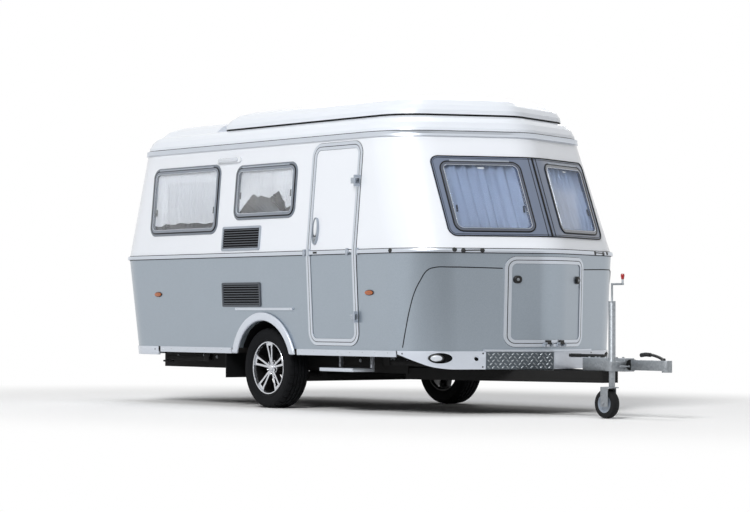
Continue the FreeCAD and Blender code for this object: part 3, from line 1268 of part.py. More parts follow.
def build_coupling():
    """The overrun housing, the coupling head and the handbrake lever."""
    level = DRAW_TOP + " + housing_height / 2"
    housing = box("overrun_block", "housing_length + housing_reach", "2 * housing_half", "housing_height",
                  ("draw_nose - housing_length", "-housing_half", DRAW_TOP))
    neck = rod("overrun_neck", "shaft_radius", "coupling_reach - 4 * ball_radius",
               ("draw_nose", "0", level), ALONG_X)
    node("overrun_housing", fused("overrun_housing", [housing, neck]))
    middle = "draw_nose + coupling_reach - ball_radius - coupling_wall"
    cup = rod("coupling_cup", "ball_radius + coupling_wall", "housing_height / 2 + shaft_radius + coupling_wall",
              (middle, "0", DRAW_TOP))
    start = "draw_nose + housing_reach + housing_half"
    arm = box("coupling_arm", middle + " - (" + start + ")", "2 * shaft_radius + 2 * coupling_wall",
              "2 * shaft_radius + 2 * coupling_wall",
              (start, "-shaft_radius - coupling_wall", level + " - shaft_radius - coupling_wall"))
    socket = rod("coupling_socket", "ball_radius", "housing_height / 2", (middle, "0", DRAW_TOP))
    bore_end = "(" + middle + " - ball_radius - 2 * coupling_wall)"
    bore = rod("coupling_bore", "shaft_radius + fit_gap", bore_end + " - draw_nose",
               ("draw_nose", "0", level), ALONG_X)
    body = cut("coupling_cupped", fused("coupling_body", [cup, arm]), socket)
    node("coupling_head", cut("coupling_head", body, bore))
    lever = box("lever_bar", "lever_length", "lever_thickness", "lever_thickness",
                ("draw_nose - housing_length / 2 - lever_length", "housing_half + slack",
                 DRAW_TOP + " + housing_height"))
    pivot = box("lever_pivot", "lever_thickness * 2", "lever_thickness + slack", "housing_height",
                ("draw_nose - housing_length / 2 - lever_thickness * 2", "housing_half", DRAW_TOP))
    node("handbrake_lever", fused("handbrake_lever", [lever, pivot]))


def build_jockey():
    """The jockey wheel: clamp and outer tube, winding inner tube with its crank, fork and wheel."""
    place = "jockey_place"
    side = "-jockey_side"
    length = "jockey_tube_top - jockey_tube_bottom"
    outer = cut("jockey_outer", rod("jockey_outer_solid", "jockey_tube_radius", length,
                                    (place, side, "jockey_tube_bottom")),
                rod("jockey_outer_bore", "jockey_tube_radius - jockey_tube_wall", length + " + 2 * overrun",
                    (place, side, "jockey_tube_bottom - overrun")))
    grip = "(jockey_tube_radius + coupling_wall)"
    clamp = cut("jockey_clamp", box("jockey_clamp_block", "2 * " + grip, "jockey_side - housing_half + " + grip,
                                    "housing_height * 0.7",
                                    ("jockey_place - " + grip, "-jockey_side - " + grip, DRAW_TOP + " + slack")),
                rod("jockey_clamp_bore", "jockey_tube_radius - jockey_tube_wall / 2", "2 * housing_height",
                    (place, side, DRAW_TOP + " - overrun")))
    node("jockey_tube", fused("jockey_tube", [outer, clamp]))
    crown_top = "(2 * jockey_radius + jockey_fork_gap + jockey_crown)"
    bottom = crown_top + " + fit_gap"
    stem = rod("jockey_stem_bar", "jockey_stem_radius", "jockey_tube_top - (%s)" % bottom,
               (place, side, bottom))
    cap = rod("jockey_cap", "jockey_tube_radius", "coupling_wall", (place, side, "jockey_tube_top + fit_gap"))
    rise = rod("crank_rise", "crank_radius", "crank_height + overrun", (place, side, "jockey_tube_top - overrun"))
    top = "jockey_tube_top + crank_height"
    swing = rod("crank_swing", "crank_radius", "crank_reach", (place, side, top + " - crank_radius"), ALONG_X)
    arm = rod("crank_grip", "crank_radius", "3 * knob_radius",
              ("jockey_place + crank_reach - crank_radius", side, top + " - 2 * crank_radius"))
    node("jockey_stem", fused("jockey_stem", [stem, cap, rise, swing, arm]))
    knob = rod("crank_handle", "knob_radius", "3 * knob_radius",
               ("jockey_place + crank_reach - crank_radius", side, top + " - 2 * crank_radius + 3 * knob_radius"))
    gathered("crank_knob", [knob])
    half_wheel = "(jockey_width / 2 + jockey_fork_gap)"
    wide = "jockey_width + 2 * jockey_fork_gap + 2 * jockey_fork_plate"
    low_side = "-jockey_side - %s - jockey_fork_plate" % half_wheel
    back = "jockey_place - jockey_tube_radius - jockey_trail"
    crown = box("fork_crown", "2 * jockey_tube_radius + jockey_trail", wide, "jockey_crown",
                (back, low_side, crown_top + " - jockey_crown"))
    plates = [box("fork_plate_" + word, "2 * jockey_tube_radius + jockey_trail / 2", "jockey_fork_plate",
                  crown_top + " - jockey_radius + 2 * jockey_axle_radius",
                  (back, start, "jockey_radius - 2 * jockey_axle_radius"))
              for word, start in (("left", "-jockey_side + " + half_wheel), ("right", low_side))]
    pin = rod("fork_pin", "jockey_axle_radius", wide, ("jockey_place - jockey_trail", low_side, "jockey_radius"),
              ALONG_Y)
    node("jockey_fork", fused("jockey_fork", [crown, pin] + plates))
    wheel = rod("jockey_wheel_solid", "jockey_radius", "jockey_width",
                ("jockey_place - jockey_trail", "-jockey_side - jockey_width / 2", "jockey_radius"), ALONG_Y)
    bore = rod("jockey_wheel_bore", "jockey_axle_radius + fit_gap", "jockey_width + 2 * overrun",
               ("jockey_place - jockey_trail", "-jockey_side - jockey_width / 2 - overrun", "jockey_radius"), ALONG_Y)
    node("jockey_wheel", cut("jockey_wheel", wheel, bore))


def build_steady(word, end, side):
    """One corner steady, folded up: its bracket under the floor and its swinging leg with a foot."""
    name = "%s_%s" % ("front" if end > 0 else "rear", word)
    pivot = "steady_nose_pivot" if end > 0 else "-steady_tail_pivot"
    half = "steady_nose_half" if end > 0 else "steady_tail_half"
    middle = half if side > 0 else "-" + half
    sign = "" if end > 0 else "-"
    leg_start = pivot if end > 0 else "-steady_tail_pivot - steady_length"
    bar = box("leg_bar_" + name, "steady_length", "steady_width", "steady_width",
              (leg_start, middle + " - steady_width / 2", "steady_level - steady_width / 2"))
    eye = rod("leg_eye_" + name, "steady_width / 2", "steady_width",
              (pivot, middle + " - steady_width / 2", "steady_level"), ALONG_Y)
    foot_x = pivot + (" + " if end > 0 else " - ") + "steady_length"
    foot = rod("leg_foot_" + name, "steady_foot_radius", "steady_foot_height",
               (foot_x, middle, "steady_level - steady_width / 2 - steady_foot_height"))
    hole = rod("leg_hole_" + name, "steady_pin_radius + fit_gap", "steady_width + 2 * overrun",
               (pivot, middle + " - steady_width / 2 - overrun", "steady_level"), ALONG_Y)
    node("steady_leg_" + name, cut("steady_leg_" + name, fused("leg_" + name, [bar, eye, foot]), hole))
    cheek_height = FLOOR_LOW + " - steady_level + steady_width / 2"
    cheeks = [box("cheek_%s_%d" % (name, index), "2 * steady_width", "steady_bracket", cheek_height,
                  (pivot + " - steady_width", start, "steady_level - steady_width / 2"))
              for index, start in enumerate((middle + " + steady_width / 2 + fit_gap",
                                             middle + " - steady_width / 2 - fit_gap - steady_bracket"))]
    top = box("cheek_top_" + name, "2 * steady_width", "steady_width + 2 * fit_gap + 2 * steady_bracket", "steady_bracket",
              (pivot + " - steady_width", middle + " - steady_width / 2 - fit_gap - steady_bracket",
               FLOOR_LOW + " - steady_bracket"))
    pin = rod("cheek_pin_" + name, "steady_pin_radius", "steady_width + 2 * fit_gap + 2 * steady_bracket",
              (pivot, middle + " - steady_width / 2 - fit_gap - steady_bracket", "steady_level"), ALONG_Y)
    return fused("steady_bracket_" + name, cheeks + [top, pin])


def build_step():
    """The entry step on its two hangers."""
    tread = box("step_tread_board", "step_length", "step_depth", "step_tread",
                ("step_middle - step_length / 2", "-step_outer", "step_level - step_tread / 2"))
    hangers = [box("step_hanger_%d" % index, "step_hanger", "step_hanger", FLOOR_LOW + " - step_level",
                   (place, "-step_outer + step_depth - step_hanger", "step_level"))
               for index, place in enumerate(("step_middle - step_length / 2",
                                              "step_middle + step_length / 2 - step_hanger"))]
    node("entry_step", fused("entry_step", [tread] + hangers))


def build_all():
    """Every piece of the caravan."""
    for step in (build_walls, build_floor, build_roof, build_rails, build_arches, build_door, build_locker, build_windows, build_bumpers,
                 build_chassis, build_axle, build_coupling, build_jockey, build_step):
        step()
    for word, side in (("left", LEFT), ("right", RIGHT)):
        build_wheel(word, side)
    brackets = [build_steady(word, end, side) for end in (1, -1) for word, side in (("left", LEFT), ("right", RIGHT))]
    gathered("steady_brackets", brackets)
    DOC.recompute()


def check_and_write():
    """Stop on any failed object or bad shape, then write each piece to its own file."""
    for item in DOC.Objects:
        if "Invalid" in item.State or "Error" in item.State:
            raise RuntimeError("%s failed: %s" % (item.Label, item.State))
    for piece in NODES:
        if piece.Shape.isNull() or not piece.Shape.isValid() or not piece.Shape.Solids:
            raise RuntimeError("%s has no valid solid" % piece.Label)
    os.makedirs("parts", exist_ok=True)
    for piece in NODES:
        piece.Shape.exportStep("parts/%s.step" % piece.Label)
    print("%d pieces written" % len(NODES))


build_all()
check_and_write()
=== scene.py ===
"""A small touring caravan with a lifting roof: its shapes, finishes, light and camera."""

import json
import logging
import math
from collections.abc import Callable, Iterator, Sequence
from contextlib import contextmanager
from dataclasses import dataclass, field
from enum import Enum

import bmesh
import bpy
from mathutils import Matrix, Vector
from mathutils.bvhtree import BVHTree

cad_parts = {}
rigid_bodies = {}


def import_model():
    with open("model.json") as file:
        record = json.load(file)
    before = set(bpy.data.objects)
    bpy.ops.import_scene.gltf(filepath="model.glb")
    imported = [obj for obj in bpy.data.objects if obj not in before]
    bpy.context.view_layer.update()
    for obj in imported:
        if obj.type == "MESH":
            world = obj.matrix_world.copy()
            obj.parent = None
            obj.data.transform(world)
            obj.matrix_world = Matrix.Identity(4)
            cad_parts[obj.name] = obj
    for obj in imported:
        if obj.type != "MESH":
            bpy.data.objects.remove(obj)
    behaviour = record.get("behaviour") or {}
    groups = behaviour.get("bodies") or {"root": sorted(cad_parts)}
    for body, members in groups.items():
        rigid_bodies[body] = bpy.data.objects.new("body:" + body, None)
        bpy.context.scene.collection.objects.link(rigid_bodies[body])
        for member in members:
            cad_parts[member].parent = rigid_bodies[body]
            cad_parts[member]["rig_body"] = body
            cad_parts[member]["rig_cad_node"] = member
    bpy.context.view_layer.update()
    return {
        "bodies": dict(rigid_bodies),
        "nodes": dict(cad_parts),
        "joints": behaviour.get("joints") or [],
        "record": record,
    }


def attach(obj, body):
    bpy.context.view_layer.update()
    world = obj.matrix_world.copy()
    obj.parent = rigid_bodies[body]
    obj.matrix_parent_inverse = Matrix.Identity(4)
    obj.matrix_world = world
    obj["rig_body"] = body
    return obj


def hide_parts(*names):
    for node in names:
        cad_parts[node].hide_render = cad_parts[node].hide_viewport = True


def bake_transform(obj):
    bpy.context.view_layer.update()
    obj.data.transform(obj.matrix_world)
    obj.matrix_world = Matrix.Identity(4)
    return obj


LOG = logging.getLogger("caravan")

Point = tuple[float, float, float]
Pair = tuple[float, float]
Outline = Sequence[Pair]
Thing = bpy.types.Object
Face = bmesh.types.BMFace
Tree = bpy.types.ShaderNodeTree
Socket = bpy.types.NodeSocket

ORIGIN = Vector()
AHEAD = Vector((1, 0, 0))
LEFTWARDS = Vector((0, 1, 0))
UP = Vector((0, 0, 1))
AXLE_X = -0.595
BEVEL_ANGLE = 35

SURFACES: dict[str, BVHTree] = {}


class Side(Enum):
    """A side of the caravan, as the sign of its Y."""

    RIGHT = -1
    LEFT = 1


class Pattern(Enum):
    """The fine structure of a finish."""

    PLAIN = "plain"
    FLAKE = "flake"
    BRUSHED = "brushed"
    SPANGLE = "spangle"
    WEAVE = "weave"
    PLY = "ply"
    STUCCO = "stucco"


def rounded_outline(width: float, height: float, radius: float, steps: int = 6) -> list[Pair]:
    """The corners of a rectangle with round corners about the origin.

    Args:
        width: Its width.
        height: Its height.
        radius: The radius of its corners.
        steps: The steps round each corner.

    Returns:
        The outline, anticlockwise.
    """
    points = []
    for sign_u, sign_v, start in ((1, -1, -90), (1, 1, 0), (-1, 1, 90), (-1, -1, 180)):
        middle = (sign_u * (width / 2 - radius), sign_v * (height / 2 - radius))
        for index in range(steps + 1):
            angle = math.radians(start + 90 * index / steps)
            points.append((middle[0] + radius * math.cos(angle), middle[1] + radius * math.sin(angle)))
    return points


def oval(width: float, height: float, steps: int = 40) -> list[Pair]:
    """The corners of an oval about the origin."""
    turns = [math.tau * index / steps for index in range(steps)]
    return [(width / 2 * math.cos(turn), height / 2 * math.sin(turn)) for turn in turns]


def spaced(low: float, high: float, count: int) -> list[float]:
    """Evenly spaced numbers from one to another, both included."""
    return [low + (high - low) * index / (count - 1) for index in range(count)]


def dense(outline: Sequence[tuple[float, ...]], reach: float = 0.05) -> list[tuple[float, ...]]:
    """A closed outline with more points on its long runs.

    Args:
        outline: Its points, whose first two numbers give their distances.
        reach: The longest run left between two points.

    Returns:
        The denser outline.
    """
    points = []
    for here, there in zip(outline, list(outline[1:]) + [outline[0]]):
        count = max(1, math.ceil(math.hypot(there[0] - here[0], there[1] - here[1]) / reach))
        points += [tuple(a + (b - a) * k / count for a, b in zip(here, there)) for k in range(count)]
    return points


def linear(colour: Point) -> tuple[float, float, float, float]:
    """A colour as it is seen on a screen, in linear light and with full cover."""
    red, green, blue = [c / 12.92 if c <= 0.04045 else ((c + 0.055) / 1.055) ** 2.4 for c in colour]
    return red, green, blue, 1.0


@dataclass(frozen=True)
class Spot:
    """A point on the caravan's skin with the way out of it and the level line along it."""

    place: Vector
    out: Vector
    level: Vector

    def moved(self, along: float = 0.0, up: float = 0.0, out: float = 0.0) -> Vector:
        """A point beside this one, measured along the level, up the skin and out of it."""
        return self.place + self.level * along + self.out.cross(self.level).normalized() * up + self.out * out

    def shifted(self, along: float = 0.0, up: float = 0.0, out: float = 0.0) -> "Spot":
        """The same spot at a point beside it."""
        return Spot(self.moved(along, up, out), self.out, self.level)

    def sense(self) -> int:
        """1 where the level line runs towards the front or the left side, else -1."""
        axis = AHEAD if abs(self.out.y) > abs(self.out.x) else LEFTWARDS
        return 1 if self.level.dot(axis) > 0 else -1


FLAT = Spot(ORIGIN, UP, AHEAD)


class Bench:
    """Modelling moves that every sub-assembly uses, each made with Blender's operators."""

    @staticmethod
    def clear() -> None:
        """Deselect everything."""
        bpy.ops.object.select_all(action="DESELECT")

    @staticmethod
    def take(obj: Thing) -> None:
        """Select one object alone and make it active."""
        Bench.clear()
        obj.select_set(True)
        bpy.context.view_layer.objects.active = obj

    @staticmethod
    @contextmanager
    def editing(obj: Thing) -> Iterator[bmesh.types.BMesh]:
        """Edit one mesh with all of it selected, and leave edit mode again at the end.

        Args:
            obj: The mesh object.

        Yields:
            The mesh under edit, to select its parts by place.
        """
        Bench.take(obj)
        bpy.ops.object.mode_set(mode="EDIT")
        bpy.ops.mesh.select_mode(type="VERT")
        bpy.ops.mesh.select_all(action="SELECT")
        try:
            yield bmesh.from_edit_mesh(obj.data)
        finally:
            bpy.ops.object.mode_set(mode="OBJECT")

    @staticmethod
    def pick_faces(obj: Thing, test: Callable[[Face], bool]) -> None:
        """Select in edit mode the faces that pass a test, and nothing else.

        Args:
            obj: The object under edit.
            test: Says which faces to select.
        """
        bpy.ops.mesh.select_mode(type="FACE")
        bpy.ops.mesh.select_all(action="DESELECT")
        for face in bmesh.from_edit_mesh(obj.data).faces:
            if test(face):
                face.select_set(True)
        bmesh.update_edit_mesh(obj.data)

    @staticmethod
    def paint(obj: Thing, index: int) -> None:
        """Give the picked faces one of the object's materials."""
        obj.active_material_index = index
        bpy.ops.object.material_slot_assign()

    @staticmethod
    def swell(way: float) -> None:
        """Draw the picked faces out along their normals, or in where the way is negative."""
        bpy.ops.mesh.extrude_region_shrink_fatten(TRANSFORM_OT_shrink_fatten={"value": way})

    @staticmethod
    def sink(obj: Thing, out: Vector, border: float, depth: float) -> None:
        """Sink the face that looks outwards, inside a border that stays."""
        Bench.pick_faces(obj, lambda face: face.normal.dot(out) > 0.9)
        bpy.ops.mesh.inset(thickness=border, use_even_offset=True)
        Bench.swell(-depth)

    @staticmethod
    def mend(merge: float = 0.0) -> None:
        """Merge the points of the mesh under edit that coincide, and turn its faces outwards."""
        bpy.ops.mesh.select_all(action="SELECT")
        if merge > 0:
            bpy.ops.mesh.remove_doubles(threshold=merge)
        bpy.ops.mesh.normals_make_consistent(inside=False)

    @staticmethod
    def draw_out(obj: Thing, way: Point) -> None:
        """Fill a closed line and draw it out into a solid.

        Args:
            obj: The closed line.
            way: How far and where it is drawn.
        """
        with Bench.editing(obj):
            bpy.ops.mesh.edge_face_add()
            bpy.ops.mesh.extrude_region_move(TRANSFORM_OT_translate={"value": way})
            Bench.mend()

    @staticmethod
    def settle(obj: Thing, sharp: float = 35.0) -> Thing:
        """Put an object's place into its mesh and shade it smooth up to an angle.

        Args:
            obj: The object.
            sharp: The angle in degrees past which an edge stays sharp, or 0 to leave the shading.

        Returns:
            The same object.
        """
        Bench.take(obj)
        bpy.ops.object.transform_apply(location=True, rotation=True, scale=True)
        if sharp > 0:
            bpy.ops.object.shade_smooth_by_angle(angle=math.radians(sharp))
        return obj

    @staticmethod
    def soften(obj: Thing, width: float, segments: int = 2, sharp: float = 35.0) -> Thing:
        """Put an object's place into its mesh, round its sharp edges and shade it.

        Args:
            obj: The object.
            width: The rounding's width in metres, or 0 for none.
            segments: The faces across the rounding.
            sharp: The angle in degrees past which an edge stays sharp.

        Returns:
            The same object.
        """
        Bench.settle(obj, 0)
        if width > 0:
            bpy.ops.object.modifier_add(type="BEVEL")
            bevel = obj.modifiers[-1]
            bevel.width = width
            bevel.segments = segments
            bevel.limit_method = "ANGLE"
            bevel.angle_limit = math.radians(BEVEL_ANGLE)
            bpy.ops.object.modifier_apply(modifier=bevel.name)
        return Bench.settle(obj, sharp)

    @staticmethod
    def chain(points: Sequence[Point], closed: bool = False) -> Thing:
        """A line of points, drawn out from one corner of a small plane.

        Args:
            points: The points in order.
            closed: Whether the last point joins the first.

        Returns:
            The new mesh object.
        """
        Bench.clear()
        bpy.ops.mesh.primitive_plane_add(size=0.001, location=(0, 0, 0))
        obj = bpy.context.active_object
        ring = [*points, points[0]] if closed else points
        with Bench.editing(obj):
            bpy.ops.mesh.merge(type="CENTER")
            bpy.ops.transform.translate(value=points[0])
            for before, after in zip(ring, ring[1:]):
                step = tuple(b - a for a, b in zip(before, after))
                bpy.ops.mesh.extrude_region_move(TRANSFORM_OT_translate={"value": step})
            if closed:
                bpy.ops.mesh.select_all(action="SELECT")
                bpy.ops.mesh.remove_doubles(threshold=1e-6)
        return obj

    @staticmethod
    def turn_to(obj: Thing, place: Vector, axis: Vector, across: Vector | None = None) -> None:
        """Stand an object that was made along Z at a place, along another axis.

        Args:
            obj: The object, made about the origin.
            place: Where its origin goes.
            axis: Where its Z goes.
            across: Where its X goes, roughly.
        """
        up = axis.normalized()
        guide = UP if across is None else across
        if abs(up.dot(guide.normalized())) > 0.99:
            guide = AHEAD
        side = guide.cross(up) if across is None else guide - up * guide.dot(up)
        side.normalize()
        turn = Matrix((side, up.cross(side), up)).transposed().to_4x4()
        obj.matrix_world = Matrix.Translation(place) @ turn

    @staticmethod
    def turned(profile: Outline, steps: int = 48, place: Vector = ORIGIN, axis: Vector = UP,
               closed: bool = False, sharp: float = 35.0) -> Thing:
        """A round form, spun from a profile as on a lathe.

        Args:
            profile: Pairs of radius and height along the axis.
            steps: The steps round it.
            place: Where the profile's origin goes.
            axis: The axis of the round form.
            closed: Whether the profile is a closed loop.
            sharp: The angle past which its edges stay sharp.

        Returns:
            The new mesh object.
        """
        obj = Bench.chain([(radius, 0.0, height) for radius, height in profile], closed)
        with Bench.editing(obj):
            bpy.ops.mesh.spin(steps=steps, angle=math.tau, center=(0, 0, 0), axis=(0, 0, 1))
            Bench.mend(2e-6)
        Bench.turn_to(obj, place, axis)
        return Bench.settle(obj, sharp)

    @staticmethod
    def plate(outline: Outline, depth: float, spot: Spot = FLAT, bevel: float = 0.0) -> Thing:
        """A flat plate of any outline that stands out from a surface.

        Args:
            outline: The outline's corners, along the level and upwards.
            depth: How far the plate stands out.
            spot: The point of the surface that the outline is measured from.
            bevel: The width of its rounded edges.

        Returns:
            The new mesh object.
        """
        obj = Bench.chain([(u, v, 0.0) for u, v in outline], closed=True)
        Bench.draw_out(obj, (0, 0, depth))
        Bench.turn_to(obj, spot.place, spot.out, spot.level)
        return Bench.soften(obj, bevel)

    @staticmethod
    def block(low: Point, high: Point, bevel: float) -> Thing:
        """An upright block between two corners with rounded edges.

        Args:
            low: Its lowest corner.
            high: Its highest corner.
            bevel: The width of its rounded edges.

        Returns:
            The new mesh object.
        """
        Bench.clear()
        middle = [(a + b) / 2 for a, b in zip(low, high)]
        bpy.ops.mesh.primitive_cube_add(size=1, location=middle, scale=[b - a for a, b in zip(low, high)])
        return Bench.soften(bpy.context.active_object, bevel)

    @staticmethod
    def pipe(points: Sequence[Sequence[float]], radius: float, bend: bool = False, closed: bool = False,
             sides: int = 3) -> Thing:
        """A round bar that follows points, with its ends closed.

        Args:
            points: The points that it follows.
            radius: Its radius.
            bend: Whether it curves smoothly through the points.
            closed: Whether it joins up with itself.
            sides: How finely its round is divided.

        Returns:
            The new mesh object.
        """
        Bench.clear()
        bpy.ops.curve.primitive_bezier_curve_add(location=(0, 0, 0))
        curve = bpy.context.active_object.data
        curve.dimensions = "3D"
        curve.splines.clear()
        spline = curve.splines.new("BEZIER" if bend else "POLY")
        knots = spline.bezier_points if bend else spline.points
        knots.add(len(points) - 1)
        for knot, point in zip(knots, points):
            if bend:
                knot.co = point
                knot.handle_left_type = "AUTO"
                knot.handle_right_type = "AUTO"
            else:
                knot.co = (*point, 1)
        spline.use_cyclic_u = closed
        curve.bevel_depth = radius
        curve.bevel_resolution = sides
        curve.resolution_u = 8
        curve.use_fill_caps = not closed
        Bench.take(bpy.context.active_object)
        bpy.ops.object.convert(target="MESH")
        obj = bpy.context.active_object
        with Bench.editing(obj):
            Bench.mend(2e-6)
        return Bench.settle(obj)

    @staticmethod
    def copy_of(obj: Thing) -> Thing:
        """A copy with its own mesh."""
        Bench.take(obj)
        bpy.ops.object.duplicate(linked=False)
        return bpy.context.active_object

    @staticmethod
    def joined(name: str, pieces: Sequence[Thing]) -> Thing:
        """One object made of several, which are used up.

        Args:
            name: The whole's name.
            pieces: The objects.

        Returns:
            The whole.
        """
        Bench.take(pieces[0])
        for piece in pieces:
            piece.select_set(True)
        if len(pieces) > 1:
            bpy.ops.object.join()
        whole = bpy.context.active_object
        whole.name = name
        return whole

    @staticmethod
    def solid_copy(node: Thing, bevel: float, flat: float = 4.0, segments: int = 2) -> Thing:
        """A copy of one of the frame's solids with its triangles merged and its edges rounded.

        Args:
            node: The frame's solid.
            bevel: The width of the rounded edges.
            flat: The angle in degrees under which triangles become one face.
            segments: The faces across the rounding.

        Returns:
            The copy, free of its body.
        """
        copy = Bench.copy_of(node)
        copy.parent = None
        copy.matrix_world = Matrix.Identity(4)
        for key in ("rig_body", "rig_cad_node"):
            if key in copy:
                del copy[key]
        with Bench.editing(copy):
            bpy.ops.mesh.remove_doubles(threshold=2e-5)
            bpy.ops.mesh.dissolve_limited(angle_limit=math.radians(flat))
        return Bench.soften(copy, bevel, segments)


class Effects:
    """The shader node groups that the finishes share, each built once."""

    KINDS = {"Place": "Vector", "Stretch": "Vector", "Colour": "Color"}

    @staticmethod
    def feed(tree: Tree, sockets: object, values: dict) -> None:
        """Set or link sockets, each by its name or number.

        Args:
            tree: The tree that they are in.
            sockets: The inputs.
            values: A value or a socket for each.
        """
        for name, value in values.items():
            if isinstance(value, Socket):
                tree.links.new(value, sockets[name])
            else:
                sockets[name].default_value = value

    @staticmethod
    def node(tree: Tree, kind: str, values: dict | None = None, **settings: object) -> bpy.types.Node:
        """A shader node.

        Args:
            tree: The tree that it is in.
            kind: Its type.
            values: What its inputs take, as values or sockets.
            **settings: Its own settings.

        Returns:
            The node.
        """
        node = tree.nodes.new("ShaderNode" + kind)
        for name, value in settings.items():
            setattr(node, name, value)
        Effects.feed(tree, node.inputs, values or {})
        return node

    @staticmethod
    def sum_up(tree: Tree, kind: str, first: object, second: object, clamp: bool = False) -> Socket:
        """The result of a sum of two sockets or numbers, kept from 0 to 1 where it is clamped."""
        return Effects.node(tree, "Math", {0: first, 1: second}, operation=kind, use_clamp=clamp).outputs[0]

    @staticmethod
    def vector(tree: Tree, kind: str, *values: object) -> bpy.types.Node:
        """A node that reckons with vectors."""
        return Effects.node(tree, "VectorMath", dict(enumerate(values)), operation=kind)

    @staticmethod
    def toned(tree: Tree, colour: Socket, mask: Socket, amount: Socket) -> tuple[Socket, Socket]:
        """A colour made lighter and darker by a mask, with the swing that does it."""
        swing = Effects.sum_up(tree, "MULTIPLY", Effects.sum_up(tree, "SUBTRACT", mask, 0.5), amount)
        value = Effects.sum_up(tree, "ADD", swing, 1.0)
        return Effects.node(tree, "HueSaturation", {"Color": colour, "Value": value}).outputs["Color"], swing

    @staticmethod
    def group(name: str, takes: str, gives: str, fill: Callable[[Tree, object], dict[str, Socket]]) -> Tree:
        """A node group, built the first time that it is asked for.

        Args:
            name: The group's name.
            takes: The names of its inputs.
            gives: The names of its outputs.
            fill: Makes its nodes from the tree and the inputs, and says what each output gets.

        Returns:
            The group's tree.
        """
        tree = bpy.data.node_groups.get(name)
        if tree is None:
            tree = bpy.data.node_groups.new(name, "ShaderNodeTree")
            for way, words in (("INPUT", takes), ("OUTPUT", gives)):
                for word in words.split():
                    kind = "NodeSocket" + Effects.KINDS.get(word, "Float")
                    tree.interface.new_socket(name=word, in_out=way, socket_type=kind)
            source = tree.nodes.new("NodeGroupInput")
            sink = tree.nodes.new("NodeGroupOutput")
            Effects.feed(tree, sink.inputs, fill(tree, source.outputs))
        return tree

    @staticmethod
    def cloudy(tree: Tree, given: dict[str, Socket]) -> dict[str, Socket]:
        """Slow changes of tone and gloss over a surface.

        Args:
            tree: The group's tree.
            given: Its inputs.

        Returns:
            What each output gets.
        """
        wide = Effects.node(tree, "TexNoise",
                            {"Vector": given["Place"], "Scale": given["Scale"], "Detail": 4})
        colour, swing = Effects.toned(tree, given["Colour"], wide.outputs["Fac"], given["Amount"])
        gloss = Effects.sum_up(tree, "MULTIPLY", swing, 0.6)
        return {"Colour": colour, "Gloss": Effects.sum_up(tree, "ADD", given["Gloss"], gloss, True)}

    @staticmethod
    def dusty(tree: Tree, given: dict[str, Socket]) -> dict[str, Socket]:
        """Road dust that thins out with height.

        Args:
            tree: The group's tree.
            given: Its inputs.

        Returns:
            What each output gets.
        """
        height = Effects.node(tree, "SeparateXYZ", {0: given["Place"]}).outputs["Z"]
        patches = Effects.node(tree, "TexNoise", {"Vector": given["Place"], "Scale": 9, "Detail": 5})
        fall = Effects.sum_up(tree, "DIVIDE", height, given["Reach"])
        near = Effects.sum_up(tree, "SUBTRACT", 1.0, fall, True)
        spread = Effects.sum_up(tree, "MULTIPLY", near, patches.outputs["Fac"])
        mask = Effects.sum_up(tree, "MULTIPLY", spread, given["Amount"], True)
        mix = Effects.node(tree, "Mix", {"Factor": mask, 6: given["Colour"], 7: linear((0.52, 0.49, 0.45))},
                           data_type="RGBA")
        rise = Effects.sum_up(tree, "MULTIPLY", mask, 0.4)
        return {"Colour": mix.outputs[2], "Gloss": Effects.sum_up(tree, "ADD", given["Gloss"], rise, True)}

    @staticmethod
    def grain(pattern: Pattern, tree: Tree, given: dict[str, Socket]) -> dict[str, Socket]:
        """The fine structure of a finish, as specks of tone and a height.

        Args:
            pattern: Which structure.
            tree: The group's tree.
            given: Its inputs.

        Returns:
            What each output gets.
        """
        place = Effects.vector(tree, "MULTIPLY", given["Place"], given["Stretch"]).outputs[0]
        height, mask = Effects.structure(tree, pattern, {"Vector": place, "Scale": given["Scale"]})
        return {"Colour": Effects.toned(tree, given["Colour"], mask, given["Amount"])[0], "Height": height}

    @staticmethod
    def structure(tree: Tree, pattern: Pattern, at: dict[str, Socket]) -> tuple[Socket, Socket]:
        """The texture nodes of one pattern.

        Args:
            tree: The tree that they are in.
            pattern: Which structure.
            at: The coordinates and the scale that each of them takes.

        Returns:
            The sockets of its height and of its mask.
        """
        if pattern in (Pattern.FLAKE, Pattern.SPANGLE):
            cells = Effects.node(tree, "TexVoronoi", at)
            split = Effects.node(tree, "SeparateColor", {0: cells.outputs["Color"]})
            return cells.outputs["Distance"], split.outputs[0]
        if pattern is Pattern.WEAVE:
            threads = [Effects.node(tree, "TexWave", {**at, "Distortion": 0.4}, bands_direction=way)
                       for way in ("X", "Z")]
            both = Effects.sum_up(tree, "MULTIPLY", *[thread.outputs["Fac"] for thread in threads])
            return both, both
        if pattern is Pattern.PLY:
            rings = Effects.node(tree, "TexWave", {**at, "Distortion": 6, "Detail": 3}).outputs["Fac"]
            return rings, rings
        detail = 6 if pattern is Pattern.BRUSHED else 3
        noise = Effects.node(tree, "TexNoise", {**at, "Detail": detail}).outputs["Fac"]
        if pattern is Pattern.STUCCO:
            dents = Effects.node(tree, "TexVoronoi", at, feature="SMOOTH_F1")
            return Effects.sum_up(tree, "ADD", dents.outputs["Distance"], noise), noise
        return noise, noise


